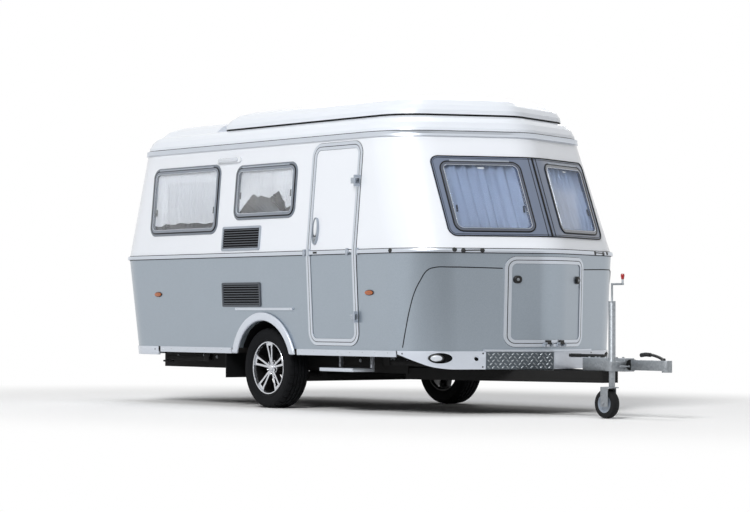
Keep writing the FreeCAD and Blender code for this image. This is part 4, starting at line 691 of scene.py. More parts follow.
@dataclass(frozen=True)
class Finish:
    """A surface finish: its colour and gloss, its fine structure, and the dust on it."""

    name: str
    slot: str
    colour: Point
    gloss: float
    metallic: float = 0.0
    coat: float = 0.0
    pattern: Pattern = Pattern.PLAIN
    scale: float = 160.0
    stretch: Point = (1.0, 1.0, 1.0)
    specks: float = 0.05
    relief: float = 0.12
    depth: float = 0.0006
    tone: float = 0.06
    tone_scale: float = 2.2
    dust: float = 0.0
    dust_reach: float = 0.5
    clear: float = 0.0
    bend: float = 1.5
    sheen: float = 0.0
    shine: float = 0.5

    def material(self) -> bpy.types.Material:
        """The finish's material, built the first time that it is asked for.

        Returns:
            The material.
        """
        material = bpy.data.materials.get(self.name)
        if material is None:
            material = bpy.data.materials.new(self.name)
            material.use_nodes = True
            self.fill(material.node_tree)
        return material

    def fill(self, tree: Tree) -> None:
        """Make the material's nodes: grain, slow tone and dust in front of the shader.

        Args:
            tree: The material's tree.
        """
        tree.nodes.clear()
        place = Effects.node(tree, "TexCoord").outputs["Object"]

        def placed(group: Tree, values: dict) -> bpy.types.Node:
            """A shared group set into this material."""
            return Effects.node(tree, "Group", {"Place": place, **values}, node_tree=group)

        grain = placed(Effects.group("grain " + self.pattern.value, "Place Colour Scale Stretch Amount",
                                     "Colour Height", lambda *given: Effects.grain(self.pattern, *given)),
                       {"Colour": linear(self.colour), "Scale": self.scale, "Stretch": self.stretch,
                        "Amount": self.specks})
        last = placed(Effects.group("slow tone", "Place Colour Gloss Amount Scale", "Colour Gloss",
                                    Effects.cloudy),
                      {"Colour": grain.outputs["Colour"], "Gloss": self.gloss, "Amount": self.tone,
                       "Scale": self.tone_scale})
        if self.dust > 0:
            last = placed(Effects.group("road dust", "Place Colour Gloss Amount Reach", "Colour Gloss",
                                        Effects.dusty),
                          {"Colour": last.outputs["Colour"], "Gloss": last.outputs["Gloss"],
                           "Amount": self.dust, "Reach": self.dust_reach})
        bump = Effects.node(tree, "Bump", {"Strength": self.relief, "Distance": self.depth,
                                           "Height": grain.outputs["Height"]})
        shader = Effects.node(tree, "BsdfPrincipled", {
            "Base Color": last.outputs["Colour"], "Roughness": last.outputs["Gloss"],
            "Metallic": self.metallic, "Coat Weight": self.coat, "Coat Roughness": 0.06,
            "Transmission Weight": self.clear, "IOR": self.bend, "Sheen Weight": self.sheen,
            "Specular IOR Level": self.shine,
            "Normal": bump.outputs["Normal"]})
        Effects.node(tree, "OutputMaterial", {"Surface": shader.outputs[0]})

    def dress(self, obj: Thing, *others: "Finish") -> None:
        """Give an object this finish, and any others for the faces that are painted later."""
        obj.data.materials.clear()
        for finish in (self, *others):
            obj.data.materials.append(finish.material())


class Stock:
    """The finishes of the caravan."""

    SILVER = Finish("silver paint", "paint_silver", (0.615, 0.655, 0.695), 0.34, metallic=0.75, coat=0.25,
                    pattern=Pattern.FLAKE, scale=420, specks=0.14, relief=0.05, tone=0.04, dust=0.06)
    WHITE = Finish("white paint", "paint_white", (0.905, 0.92, 0.945), 0.3, coat=0.45, pattern=Pattern.STUCCO,
                   scale=140, specks=0.015, relief=0.05, tone=0.02)
    ROOF = Finish("roof shell", "roof_shell", (0.875, 0.895, 0.925), 0.3, coat=0.4, scale=60, specks=0.02,
                  relief=0.05, tone=0.03)
    RAIL = Finish("anodised aluminium", "aluminium_trim", (0.79, 0.815, 0.85), 0.3, metallic=0.7,
                  pattern=Pattern.BRUSHED, scale=18, stretch=(1.0, 1.0, 40.0), specks=0.03, relief=0.02)
    ZINC = Finish("galvanised steel", "galvanised", (0.60, 0.62, 0.64), 0.46, metallic=0.8,
                  pattern=Pattern.SPANGLE, scale=70, specks=0.22, relief=0.05, tone=0.10, dust=0.2)
    CHROME = Finish("bright chrome", "galvanised", (0.80, 0.81, 0.83), 0.12, metallic=1.0, scale=40,
                    specks=0.02, relief=0.02)
    STEEL = Finish("painted chassis steel", "chassis_steel", (0.07, 0.073, 0.078), 0.7, scale=120,
                   specks=0.12, relief=0.2, tone=0.2, dust=0.06, shine=0.2)
    CAST = Finish("brake drum iron", "chassis_steel", (0.09, 0.09, 0.095), 0.6, metallic=0.4, scale=200,
                  specks=0.2, relief=0.3, tone=0.25, dust=0.1)
    ALLOY = Finish("alloy wheel lacquer", "alloy", (0.80, 0.81, 0.83), 0.22, metallic=0.9, coat=0.4,
                   pattern=Pattern.FLAKE, scale=700, specks=0.08, relief=0.03, dust=0.03, dust_reach=0.7)
    # The wheel's alloy in near black: painted shade for the rim's barrel and the spokes' sides.
    ALLOY_DARK = Finish("alloy wheel in shade", "alloy", (0.06, 0.063, 0.07), 0.45, metallic=0.3, coat=0.2,
                        pattern=Pattern.FLAKE, scale=700, specks=0.1, relief=0.03, dust=0.03, dust_reach=0.7)
    TYRE = Finish("tyre rubber", "tyre_rubber", (0.07, 0.075, 0.085), 0.75, scale=300, specks=0.18,
                  relief=0.3, depth=0.0008, tone=0.15, dust=0.01, dust_reach=0.4, shine=0.12)
    RUBBER = Finish("black rubber", "black_rubber", (0.05, 0.055, 0.062), 0.65, scale=260, specks=0.1,
                    relief=0.2, tone=0.12, shine=0.25)
    # Dark grey for thin lines along trim edges: painted shade.
    SHADE = Finish("grey sealant", "grey_plastic", (0.36, 0.39, 0.43), 0.5, scale=260, relief=0.1)
    GREY = Finish("grey moulding", "grey_plastic", (0.60, 0.635, 0.68), 0.35, coat=0.3, scale=380,
                  specks=0.04, tone=0.04)
    SLATS = Finish("dark slats", "grey_plastic", (0.26, 0.28, 0.31), 0.42, scale=380, specks=0.06)
    # Near black for the floors of recesses, cups, grilles and holes: painted shade.
    HOLLOW_SHADE = Finish("dark hollow", "black_plastic", (0.035, 0.038, 0.045), 0.8, scale=200, specks=0.1,
                 relief=0.1, shine=0.1)
    EDGE = Finish("window edge", "grey_plastic", (0.40, 0.435, 0.48), 0.22, coat=0.6, scale=240, specks=0.03,
                  relief=0.05, tone=0.05)
    BAND = Finish("window surround", "dark_frame", (0.41, 0.455, 0.54), 0.2, coat=0.5, scale=240, specks=0.03,
                  relief=0.04, tone=0.10, tone_scale=1.4)
    PANE = Finish("tinted pane", "window_grey", (0.945, 0.955, 0.97), 0.03, coat=0.6, scale=3.0, specks=0.02,
                  relief=0.1, depth=0.01, tone=0.02, clear=0.94, bend=1.02)
    PANE_FRONT = Finish("dark tinted pane", "window_grey", (0.755, 0.80, 0.87), 0.03, coat=0.6, scale=3.0,
                        specks=0.02, relief=0.1, depth=0.01, tone=0.02, clear=0.96, bend=1.02)
    PANE_RIM = Finish("pane rim", "window_grey", (0.45, 0.485, 0.535), 0.12, coat=0.8, scale=90, specks=0.03,
                      relief=0.03, tone=0.10)
    PANE_RIM_FRONT = Finish("front pane rim", "window_grey", (0.27, 0.30, 0.36), 0.12, coat=0.8, scale=90,
                            specks=0.03, relief=0.03, tone=0.10)
    CURTAIN = Finish("curtain cloth", "curtain_cloth", (0.965, 0.97, 0.975), 0.85, pattern=Pattern.WEAVE,
                     scale=260, specks=0.06, relief=0.35, depth=0.0008, tone=0.04, sheen=0.3)
    CURTAIN_GREY = Finish("front curtain cloth", "curtain_cloth", (0.93, 0.935, 0.95), 0.85,
                          pattern=Pattern.WEAVE, scale=260, specks=0.06, relief=0.35, depth=0.0008, tone=0.08,
                          sheen=0.3)
    BUMPER = Finish("bumper moulding", "bumper_plastic", (0.80, 0.825, 0.865), 0.33, metallic=0.3, coat=0.4,
                    pattern=Pattern.FLAKE, scale=500, specks=0.06, relief=0.05, tone=0.04, dust=0.06)
    CHECKER = Finish("checker plate", "checker_plate", (0.37, 0.40, 0.425), 0.46, metallic=0.8,
                     pattern=Pattern.BRUSHED, scale=30, stretch=(1.0, 1.0, 6.0), specks=0.2, tone=0.2)
    # A lighter copy of the checker plate's metal for its studs: painted highlight.
    STUD_HIGHLIGHT = Finish("polished studs", "checker_plate", (0.62, 0.64, 0.66), 0.34, metallic=0.9,
                  pattern=Pattern.BRUSHED, scale=30, stretch=(1.0, 1.0, 6.0), specks=0.1, relief=0.1)
    LENS = Finish("clear lens", "clear_lens", (0.80, 0.82, 0.85), 0.12, coat=0.8, pattern=Pattern.BRUSHED,
                  scale=40, stretch=(4.0, 4.0, 0.4), specks=0.2, relief=0.3, depth=0.001)
    AMBER = Finish("amber lens", "amber_lens", (0.62, 0.30, 0.03), 0.2, coat=0.6, pattern=Pattern.BRUSHED,
                   scale=50, stretch=(5.0, 5.0, 0.5), specks=0.4, relief=0.3, depth=0.001)
    RED = Finish("red lens", "red_lens", (0.62, 0.03, 0.03), 0.12, coat=0.8, pattern=Pattern.BRUSHED,
                 scale=50, stretch=(5.0, 5.0, 0.5), specks=0.25, relief=0.3, depth=0.001)
    BLACK = Finish("black moulding", "black_plastic", (0.06, 0.065, 0.07), 0.4, scale=380, relief=0.15)
    IVORY = Finish("white moulding", "white_plastic", (0.88, 0.895, 0.91), 0.35, coat=0.2, scale=380,
                   specks=0.02, relief=0.1)
    KNOB = Finish("red knob", "red_plastic", (0.62, 0.03, 0.05), 0.25, coat=0.6, scale=120, relief=0.05)
    # Near black: the underfloor's own dark coat, darkened further as painted shade under the floor.
    BOARD = Finish("floor board", "floor_board", (0.105, 0.10, 0.095), 0.7, pattern=Pattern.PLY, scale=3,
                   stretch=(1.0, 8.0, 8.0), specks=0.2, relief=0.2, shine=0.2)
    CANVAS = Finish("bellows cloth", "bellows_cloth", (0.62, 0.65, 0.68), 0.85, pattern=Pattern.WEAVE,
                    scale=300, specks=0.12, relief=0.4, depth=0.0008, tone=0.08, sheen=0.2)

    NODES = {name: finish for finish, names in (
        (SILVER, "lower_wall_right lower_wall_left lower_wall_rear lower_wall_front door_lower locker_hatch"),
        (WHITE, "upper_wall_right upper_wall_left upper_wall_rear upper_wall_front door_upper"),
        (ROOF, "roof_fixed lifting_roof"),
        (RAIL, "body_rails door_trim opening_trims locker_edge_trim"),
        (BUMPER, "wheel_arch_trims front_bumper rear_bumper"),
        (GREY, "door_hinge_leaves hinge_pins fridge_grilles entry_step"),
        (STEEL, "chassis_frame axle_tube trailing_arms steady_brackets steady_leg_front_left "
                "steady_leg_front_right steady_leg_rear_left steady_leg_rear_right"),
        (ZINC, "overrun_housing coupling_head jockey_tube jockey_stem jockey_fork"),
        (RUBBER, "roof_seal mud_flaps jockey_wheel"), (BLACK, "locker_fittings handbrake_lever"),
        (TYRE, "tyre_left tyre_right"), (ALLOY, "rim_left rim_right"), (BOARD, "floor_panel"),
        # The wheel boxes are black plastic, darkened further to near black by painted shade in the arches.
        (HOLLOW_SHADE, "wheel_boxes"), (CANVAS, "roof_bellows"), (IVORY, "door_handle"), (PANE, "window_panes"),
        (EDGE, "window_frames"), (BAND, "front_window_band"), (CURTAIN, "curtains"), (LENS, "white_lamps"),
        (AMBER, "side_markers"), (RED, "tail_lamps"), (CHECKER, "tread_plate"), (KNOB, "crank_knob"),
    ) for name in names.split()}


@dataclass(frozen=True)
class Viewpoint:
    """The camera of the photograph."""

    place: Point = (14.688, -11.783, 0.689)
    turn: Point = (91.347, 0.161, 52.165)
    lens: float = 121.14
    sensor: float = 36.0
    width: int = 750
    height: int = 512

    def rotation(self) -> Matrix:
        """The camera's turn as a matrix: its pitch and roll first, then its heading."""
        pitch, roll, heading = [Matrix.Rotation(math.radians(angle), 4, axis)
                                for angle, axis in zip(self.turn, "XZZ")]
        return heading @ pitch @ roll

    def ray(self, across: float, down: float) -> tuple[Point, Vector]:
        """The line of sight through a point of the picture.

        Args:
            across: The point's distance from the left edge, in the picture's own units.
            down: Its distance from the upper edge.

        Returns:
            The camera's place and the direction.
        """
        focus = self.lens / self.sensor * self.width
        local = Vector(((across - self.width / 2) / focus, (self.height / 2 - down) / focus, -1))
        return self.place, (self.rotation().to_3x3() @ local).normalized()

    def build(self) -> None:
        """Set the camera up and make it the scene's."""
        Bench.clear()
        bpy.ops.object.camera_add(location=self.place)
        camera = bpy.context.active_object
        camera.matrix_world = Matrix.Translation(self.place) @ self.rotation()
        camera.data.lens = self.lens
        camera.data.sensor_width = self.sensor
        camera.data.clip_end = 200
        bpy.context.scene.camera = camera


@dataclass
class Assembly:
    """A part of the caravan that stands on the frame's solids."""

    nodes: dict[str, Thing]

    def keep(self, name: str, pieces: Sequence[Thing], finish: Finish, body: str = "caravan",
             instead: Sequence[str] = (), dress: bool = True) -> Thing:
        """Join pieces into one, dress it and fix it to its body.

        Args:
            name: Its name.
            pieces: What it is made of.
            finish: Its finish.
            body: The body that carries it.
            instead: The solids that it stands for.
            dress: Whether it takes the finish all over.

        Returns:
            The piece.
        """
        obj = Bench.joined(name, pieces)
        if dress:
            finish.dress(obj)
        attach(obj, body)
        if instead:
            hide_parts(*instead)
        LOG.info("%s rides on %s", obj.name, body)
        return obj

    def keep_copy(self, name: str, node: str, bevel: float, finish: Finish, body: str = "caravan",
                  segments: int = 2) -> None:
        """Put a copy of a solid with rounded edges in the solid's place."""
        self.keep(name, [Bench.solid_copy(self.nodes[node], bevel, segments=segments)], finish, body, [node])

    def stamp(self, name: str, master: Thing, spots: Sequence[Spot], finish: Finish, body: str = "caravan",
              instead: Sequence[str] = ()) -> None:
        """Stand copies of a small piece on spots and fix them to a body as one piece."""
        self.keep(name, [self.stamped(master, spots)], finish, body, instead)

    @staticmethod
    def stamped(master: Thing, spots: Sequence[Spot]) -> Thing:
        """Copies of a small piece that was made about the origin, stood on spots and joined.

        Args:
            master: The small piece, which is used up.
            spots: Where the copies stand.

        Returns:
            The joined piece.
        """
        copies = []
        for spot in spots:
            copies.append(Bench.copy_of(master))
            Bench.turn_to(copies[-1], spot.place, spot.out, spot.level)
        Bench.take(master)
        bpy.ops.object.delete()
        return Bench.settle(Bench.joined("stamped", copies))

    def hit(self, start: Sequence[float], way: Sequence[float], *names: str) -> Spot:
        """The spot where a ray first meets one of the frame's solids.

        Args:
            start: Where the ray starts.
            way: Its direction.
            *names: The solids that the ray may meet.

        Returns:
            The spot, with its level line pointing to the right as seen from outside.
        """
        best = None
        for name in names:
            if name not in SURFACES:
                mesh = self.nodes[name].data
                SURFACES[name] = BVHTree.FromPolygons([vert.co for vert in mesh.vertices],
                                                      [face.vertices for face in mesh.polygons])
            place, out, _, reach = SURFACES[name].ray_cast(Vector(start), Vector(way).normalized())
            if place is not None and (best is None or reach < best[0]):
                best = (reach, place, out)
        if best is None:
            raise RuntimeError("nothing to stand on at %r" % (tuple(start),))
        _, place, out = best
        if out.dot(Vector(way)) > 0:
            out = -out
        return Spot(place, out.normalized(), UP.cross(out).normalized())

    def side_spot(self, x: float, z: float, side: Side, *names: str) -> Spot:
        """The spot on a side of the body at a place along it and a height."""
        return self.hit((x, side.value * 2.0, z), (0, -side.value, 0), *names)

    def front_spot(self, y: float, z: float, *names: str) -> Spot:
        """The spot on the front of the body at a place across it and a height."""
        return self.hit((4.0, y, z), (-1, 0, 0), *names)

    def rear_spot(self, y: float, z: float, *names: str) -> Spot:
        """The spot on the back of the body at a place across it and a height."""
        return self.hit((-5.0, y, z), (1, 0, 0), *names)

    @staticmethod
    def border(box: Sequence[float], corner: float, grow: float, radius: float,
               find: Callable[[float, float], Spot], out: float, inset: float = 0.008) -> Thing:
        """A thin line round a leaf or a pane, carried outwards from points inside its edge.

        Args:
            box: The leaf's start, end, foot and head.
            corner: The radius of its corners.
            grow: How far outside its edge the line runs.
            radius: The line's radius.
            find: Finds the skin at a place along the wall and a height.
            out: How far outside the skin the line's middle lies.
            inset: How far inside the edge the skin is looked for.

        Returns:
            The line.
        """
        start, end, low, high = box
        rings = [rounded_outline(end - start + 2 * more, high - low + 2 * more, max(corner + more, 0.004), 7)
                 for more in (-inset, grow)]
        points = []
        for u, v, s, t in dense([(*inner, *outer) for inner, outer in zip(*rings)]):
            spot = find((start + end) / 2 + u, (low + high) / 2 + v)
            points.append(spot.moved(spot.sense() * (s - u), t - v, out))
        return Bench.pipe(points, radius, closed=True, sides=2)


@dataclass
class RoadWheel(Assembly):
    """A road wheel: tyre with its tread, rim with five twin spokes, brake drum and bolts."""

    side: Side = Side.RIGHT
    middle: float = 0.8375
    hub: float = 0.298
    pairs: int = 5
    lean: float = 9.0
    steps: int = 120
    hub_face: float = 0.046
    bolt_circle: float = 0.045
    half_tyre: Outline = (
        (0.1968, 0.066), (0.1990, 0.0785), (0.2075, 0.0850), (0.2130, 0.0888), (0.2165, 0.0888),
        (0.2190, 0.0868), (0.2400, 0.0915), (0.2560, 0.0925), (0.2690, 0.0908), (0.2705, 0.0918),
        (0.2735, 0.0916), (0.2750, 0.0894), (0.2840, 0.0850), (0.2905, 0.0780), (0.2945, 0.0685),
        (0.2958, 0.0550), (0.2960, 0.0500), (0.2890, 0.0485), (0.2890, 0.0430), (0.2968, 0.0415),
        (0.2974, 0.0230), (0.2974, 0.0205), (0.2895, 0.0190), (0.2895, 0.0125), (0.2980, 0.0110))
    cuts: Sequence[tuple] = (
        (0.0510, 0.0860, 0.2850, 4, 0, 0.0050), (0.0240, 0.0410, 0.2940, 5, 1, 0.0040),
        (-0.001, 0.0100, 0.2940, 5, 3, 0.0030))
    barrel: Outline = (
        (0.1960, 0.0700), (0.1960, 0.0768), (0.1945, 0.0785), (0.1900, 0.0785), (0.1872, 0.0768),
        (0.1860, 0.0720), (0.1850, 0.0520), (0.1800, 0.0300), (0.1780, -0.0600), (0.1860, -0.0700),
        (0.1900, -0.0800), (0.1960, -0.0800), (0.1960, -0.0690), (0.1890, -0.0600), (0.1890, 0.0480),
        (0.1960, 0.0600))
    centre: Outline = (
        (0.0, 0.0590), (0.016, 0.0582), (0.0235, 0.0555), (0.0262, 0.0520), (0.0275, 0.0485),
        (0.0300, 0.0480), (0.0330, 0.0460), (0.0540, 0.0440), (0.0600, 0.0400), (0.0620, 0.0340),
        (0.0560, -0.005), (0.0, -0.005))
    spoke: Outline = (
        (0.030, -0.0095), (0.070, -0.0085), (0.120, -0.0080), (0.160, -0.0092), (0.1868, -0.0140),
        (0.1868, 0.0140), (0.160, 0.0092), (0.120, 0.0080), (0.070, 0.0085), (0.030, 0.0095))
    web: Outline = ((0.1640, -0.0150), (0.1868, -0.0330), (0.1868, 0.0330), (0.1640, 0.0150))
    rises: Outline = ((0.060, 0.006), (0.100, 0.006), (0.140, 0.007))
    drum: Outline = (
        (0.020, -0.1570), (0.060, -0.1570), (0.098, -0.1570), (0.100, -0.1550), (0.100, -0.1500),
        (0.097, -0.1480), (0.097, -0.1400), (0.100, -0.1380), (0.100, -0.1280), (0.097, -0.1260),
        (0.097, -0.1180), (0.100, -0.1160), (0.100, -0.1020), (0.094, -0.0990), (0.056, -0.0960),
        (0.052, -0.0900), (0.052, -0.0050), (0.020, -0.0050))
    bolt: Outline = ((0.0, 0.008), (0.0066, 0.008), (0.0080, 0.0066), (0.0080, 0.0), (0.0, 0.0))
    well: Outline = ((0.0, 0.0012), (0.0115, 0.0012), (0.0132, 0.0004), (0.0132, -0.003), (0.0, -0.003))

    def build(self) -> None:
        """Make the wheel's pieces and fix them to its body."""
        word = self.side.name.lower()
        body = "wheel_" + word
        self.keep("tyre_%s_treaded" % word, [self.tyre()], Stock.TYRE, body, ["tyre_" + word])
        parts = [self.spun(self.barrel, 96), self.spun(self.centre, 60, closed=False), *self.spokes()]
        rim = Bench.settle(Bench.joined("rim", parts))
        # The barrel and the spokes' sides take the near-black alloy: painted shade.
        Stock.ALLOY.dress(rim, Stock.ALLOY_DARK)
        with Bench.editing(rim):
            Bench.pick_faces(rim, self.takes_painted_shade)
            Bench.paint(rim, 1)
        self.keep("alloy_rim_" + word, [rim], Stock.ALLOY, body, ["rim_" + word], dress=False)
        self.keep("brake_drum_" + word, [self.spun(self.drum, 72)], Stock.CAST, body)
        spots = self.bolt_spots()
        self.stamp("wheel_bolts_" + word, Bench.turned(self.bolt, 6), spots, Stock.CHROME, body)
        # Near-black discs round the bolts: painted shade in the bolt recesses.
        self.stamp("bolt_wells_" + word, Bench.turned(self.well, 20), spots, Stock.HOLLOW_SHADE, body)

    def out(self) -> Vector:
        """The direction out of the wheel's face."""
        return Vector((0, self.side.value, 0))

    def place(self, height: float = 0.0) -> Vector:
        """A point on the wheel's axis, measured outwards from its middle plane."""
        return Vector((AXLE_X, self.side.value * self.middle, self.hub)) + self.out() * height

    def spun(self, profile: Outline, steps: int, closed: bool = True, sharp: float = 35.0) -> Thing:
        """A round form about the wheel's axis."""
        return Bench.turned(profile, steps, self.place(), self.out(), closed, sharp)

    def away(self, point: Vector) -> tuple[float, float]:
        """A point's distance from the axle, and how far out it lies from the wheel's middle plane."""
        return math.hypot(point.x - AXLE_X, point.z - self.hub), abs(point.y) - self.middle

    def tyre(self) -> Thing:
        """The tyre, with grooves round it and cuts across its shoulders.

        Returns:
            The tyre.
        """
        profile = [*self.half_tyre, *((radius, -height) for radius, height in reversed(self.half_tyre))]
        tyre = self.spun(profile, self.steps, sharp=28)
        for low, high, least, every, start, depth in self.cuts:
            def cut(face: Face) -> bool:
                """Whether a face of the tread belongs to a cut."""
                middle = face.calc_center_median()
                radius, out = self.away(middle)
                turn = math.atan2(middle.z - self.hub, middle.x - AXLE_X) % math.tau
                sector = int(turn / math.tau * self.steps)
                return low < abs(out) < high and radius > least and sector % every == start

            with Bench.editing(tyre):
                Bench.pick_faces(tyre, cut)
                Bench.swell(-depth)
        return Bench.settle(tyre, 28)

    def spokes(self) -> list[Thing]:
        """The five twin spokes with the webs that join each pair at the rim.

        Returns:
            The spokes and webs.
        """
        pieces = []
        for index in range(self.pairs):
            angle = index * 360 / self.pairs + 90
            for lean in (-self.lean, self.lean):
                pieces.append(self.raised(self.radial(self.spoke, angle + lean, 0.012, self.hub_face + 0.002,
                                                      0.0030), 0.012))
            pieces.append(self.radial(self.web, angle, 0.030, 0.068, 0.0020))
        return pieces

    def radial(self, outline: Outline, angle: float, low: float, high: float, bevel: float) -> Thing:
        """A plate that points away from the axle.

        Args:
            outline: Its outline, outwards and across.
            angle: Where it points, in degrees round the axle.
            low: The height of its back.
            high: The height of its face.
            bevel: The rounding of its edges.

        Returns:
            The plate.
        """
        turn = math.radians(angle)
        level = Vector((math.cos(turn), 0, math.sin(turn)))
        return Bench.plate(outline, high - low, Spot(self.place(low), self.out(), level), bevel)

    def raised(self, spoke: Thing, low: float) -> Thing:
        """A spoke with its face raised step by step towards the rim.

        Args:
            spoke: The spoke.
            low: The height of its back.

        Returns:
            The same spoke.
        """
        for reach, lift in self.rises:
            with Bench.editing(spoke) as mesh:
                bpy.ops.mesh.select_all(action="DESELECT")
                for vert in mesh.verts:
                    away, out = self.away(vert.co)
                    vert.select_set(away > reach and out > low + 0.004)
                mesh.select_flush_mode()
                bpy.ops.transform.translate(value=self.out() * lift)
        return Bench.settle(spoke)

    def takes_painted_shade(self, face: Face) -> bool:
        """Whether a face belongs to the rim's barrel or to a spoke's side, which take the painted shade."""
        away, depth = self.away(face.calc_center_median())
        facing = face.normal.dot(self.out())
        return (away > 0.17 and depth < 0.05 and facing < 0.6) or facing < 0.15 and away < 0.176

    def bolt_spots(self) -> list[Spot]:
        """Where the wheel bolts stand, between the pairs of spokes.

        Returns:
            The spots.
        """
        turns = [math.radians(90 + (index + 0.5) * 360 / self.pairs) for index in range(self.pairs)]
        ways = [Vector((math.cos(turn), 0, math.sin(turn))) for turn in turns]
        foot = self.place(self.hub_face - 0.001)
        return [Spot(foot + way * self.bolt_circle, self.out(), way) for way in ways]


class Hem(Enum):
    """How a curtain's lower edge falls, as shares of the window's height along its width."""

    FULL = ((0.0, 0.13), (0.12, 0.11), (0.2, 0.15), (0.33, 0.13), (0.42, 0.16), (0.55, 0.14), (0.68, 0.15),
            (0.8, 0.12), (0.92, 0.14), (1.0, 0.20))
    SWAGS = ((0.0, 0.02), (0.05, 0.10), (0.13, 0.24), (0.27, 0.47), (0.31, 0.44), (0.36, 0.40), (0.42, 0.42),
             (0.5, 0.39), (0.56, 0.36), (0.63, 0.44), (0.71, 0.50), (0.77, 0.38), (0.86, 0.14), (0.94, 0.20),
             (1.0, 0.30))
    LONG = ((0.0, 0.03), (0.2, 0.05), (0.4, 0.035), (0.6, 0.05), (0.8, 0.04), (1.0, 0.03))

    def at(self, share: float) -> float:
        """The hem's height at a share of the width.

        Args:
            share: The share of the width.

        Returns:
            The height as a share of the window's.
        """
        for (start, low), (end, high) in zip(self.value, self.value[1:]):
            if start <= share <= end:
                return low + (high - low) * (share - start) / (end - start)
        return self.value[-1][1]


@dataclass(frozen=True)
class Opening:
    """A window opening, by its pane's ends along its wall and its heights."""

    name: str
    wall: str
    start: float
    end: float
    low: float
    high: float
    hem: Hem
    pleats: int

    def spot(self, host: Assembly, along: float, z: float, name: str = "window_panes") -> Spot:
        """The spot of the window's outer skin at a place along its wall and a height.

        Args:
            host: The assembly that looks for it.
            along: The place along the wall.
            z: The height.
            name: The solid that it lies on.

        Returns:
            The spot.
        """
        if self.wall == "front":
            return host.front_spot(along, z, name)
        if self.wall == "rear":
            return host.rear_spot(along, z, name)
        return host.side_spot(along, z, Side[self.wall.upper()], name)


OPENINGS = (
    Opening("bed_right", "right", -2.103, -1.218, 1.329, 1.811, Hem.FULL, 26),
    Opening("cook_right", "right", -0.965, -0.226, 1.426, 1.789, Hem.SWAGS, 18),
    Opening("bed_left", "left", -2.103, -1.218, 1.329, 1.811, Hem.FULL, 24),
    Opening("seat_left", "left", -0.355, 0.530, 1.329, 1.811, Hem.FULL, 25),
    Opening("rear", "rear", -0.560, 0.560, 1.330, 1.760, Hem.FULL, 30),
    Opening("front_right", "front", -0.664, -0.118, 1.276, 1.764, Hem.LONG, 8),
    Opening("front_left", "front", 0.118, 0.664, 1.276, 1.764, Hem.LONG, 8),
)


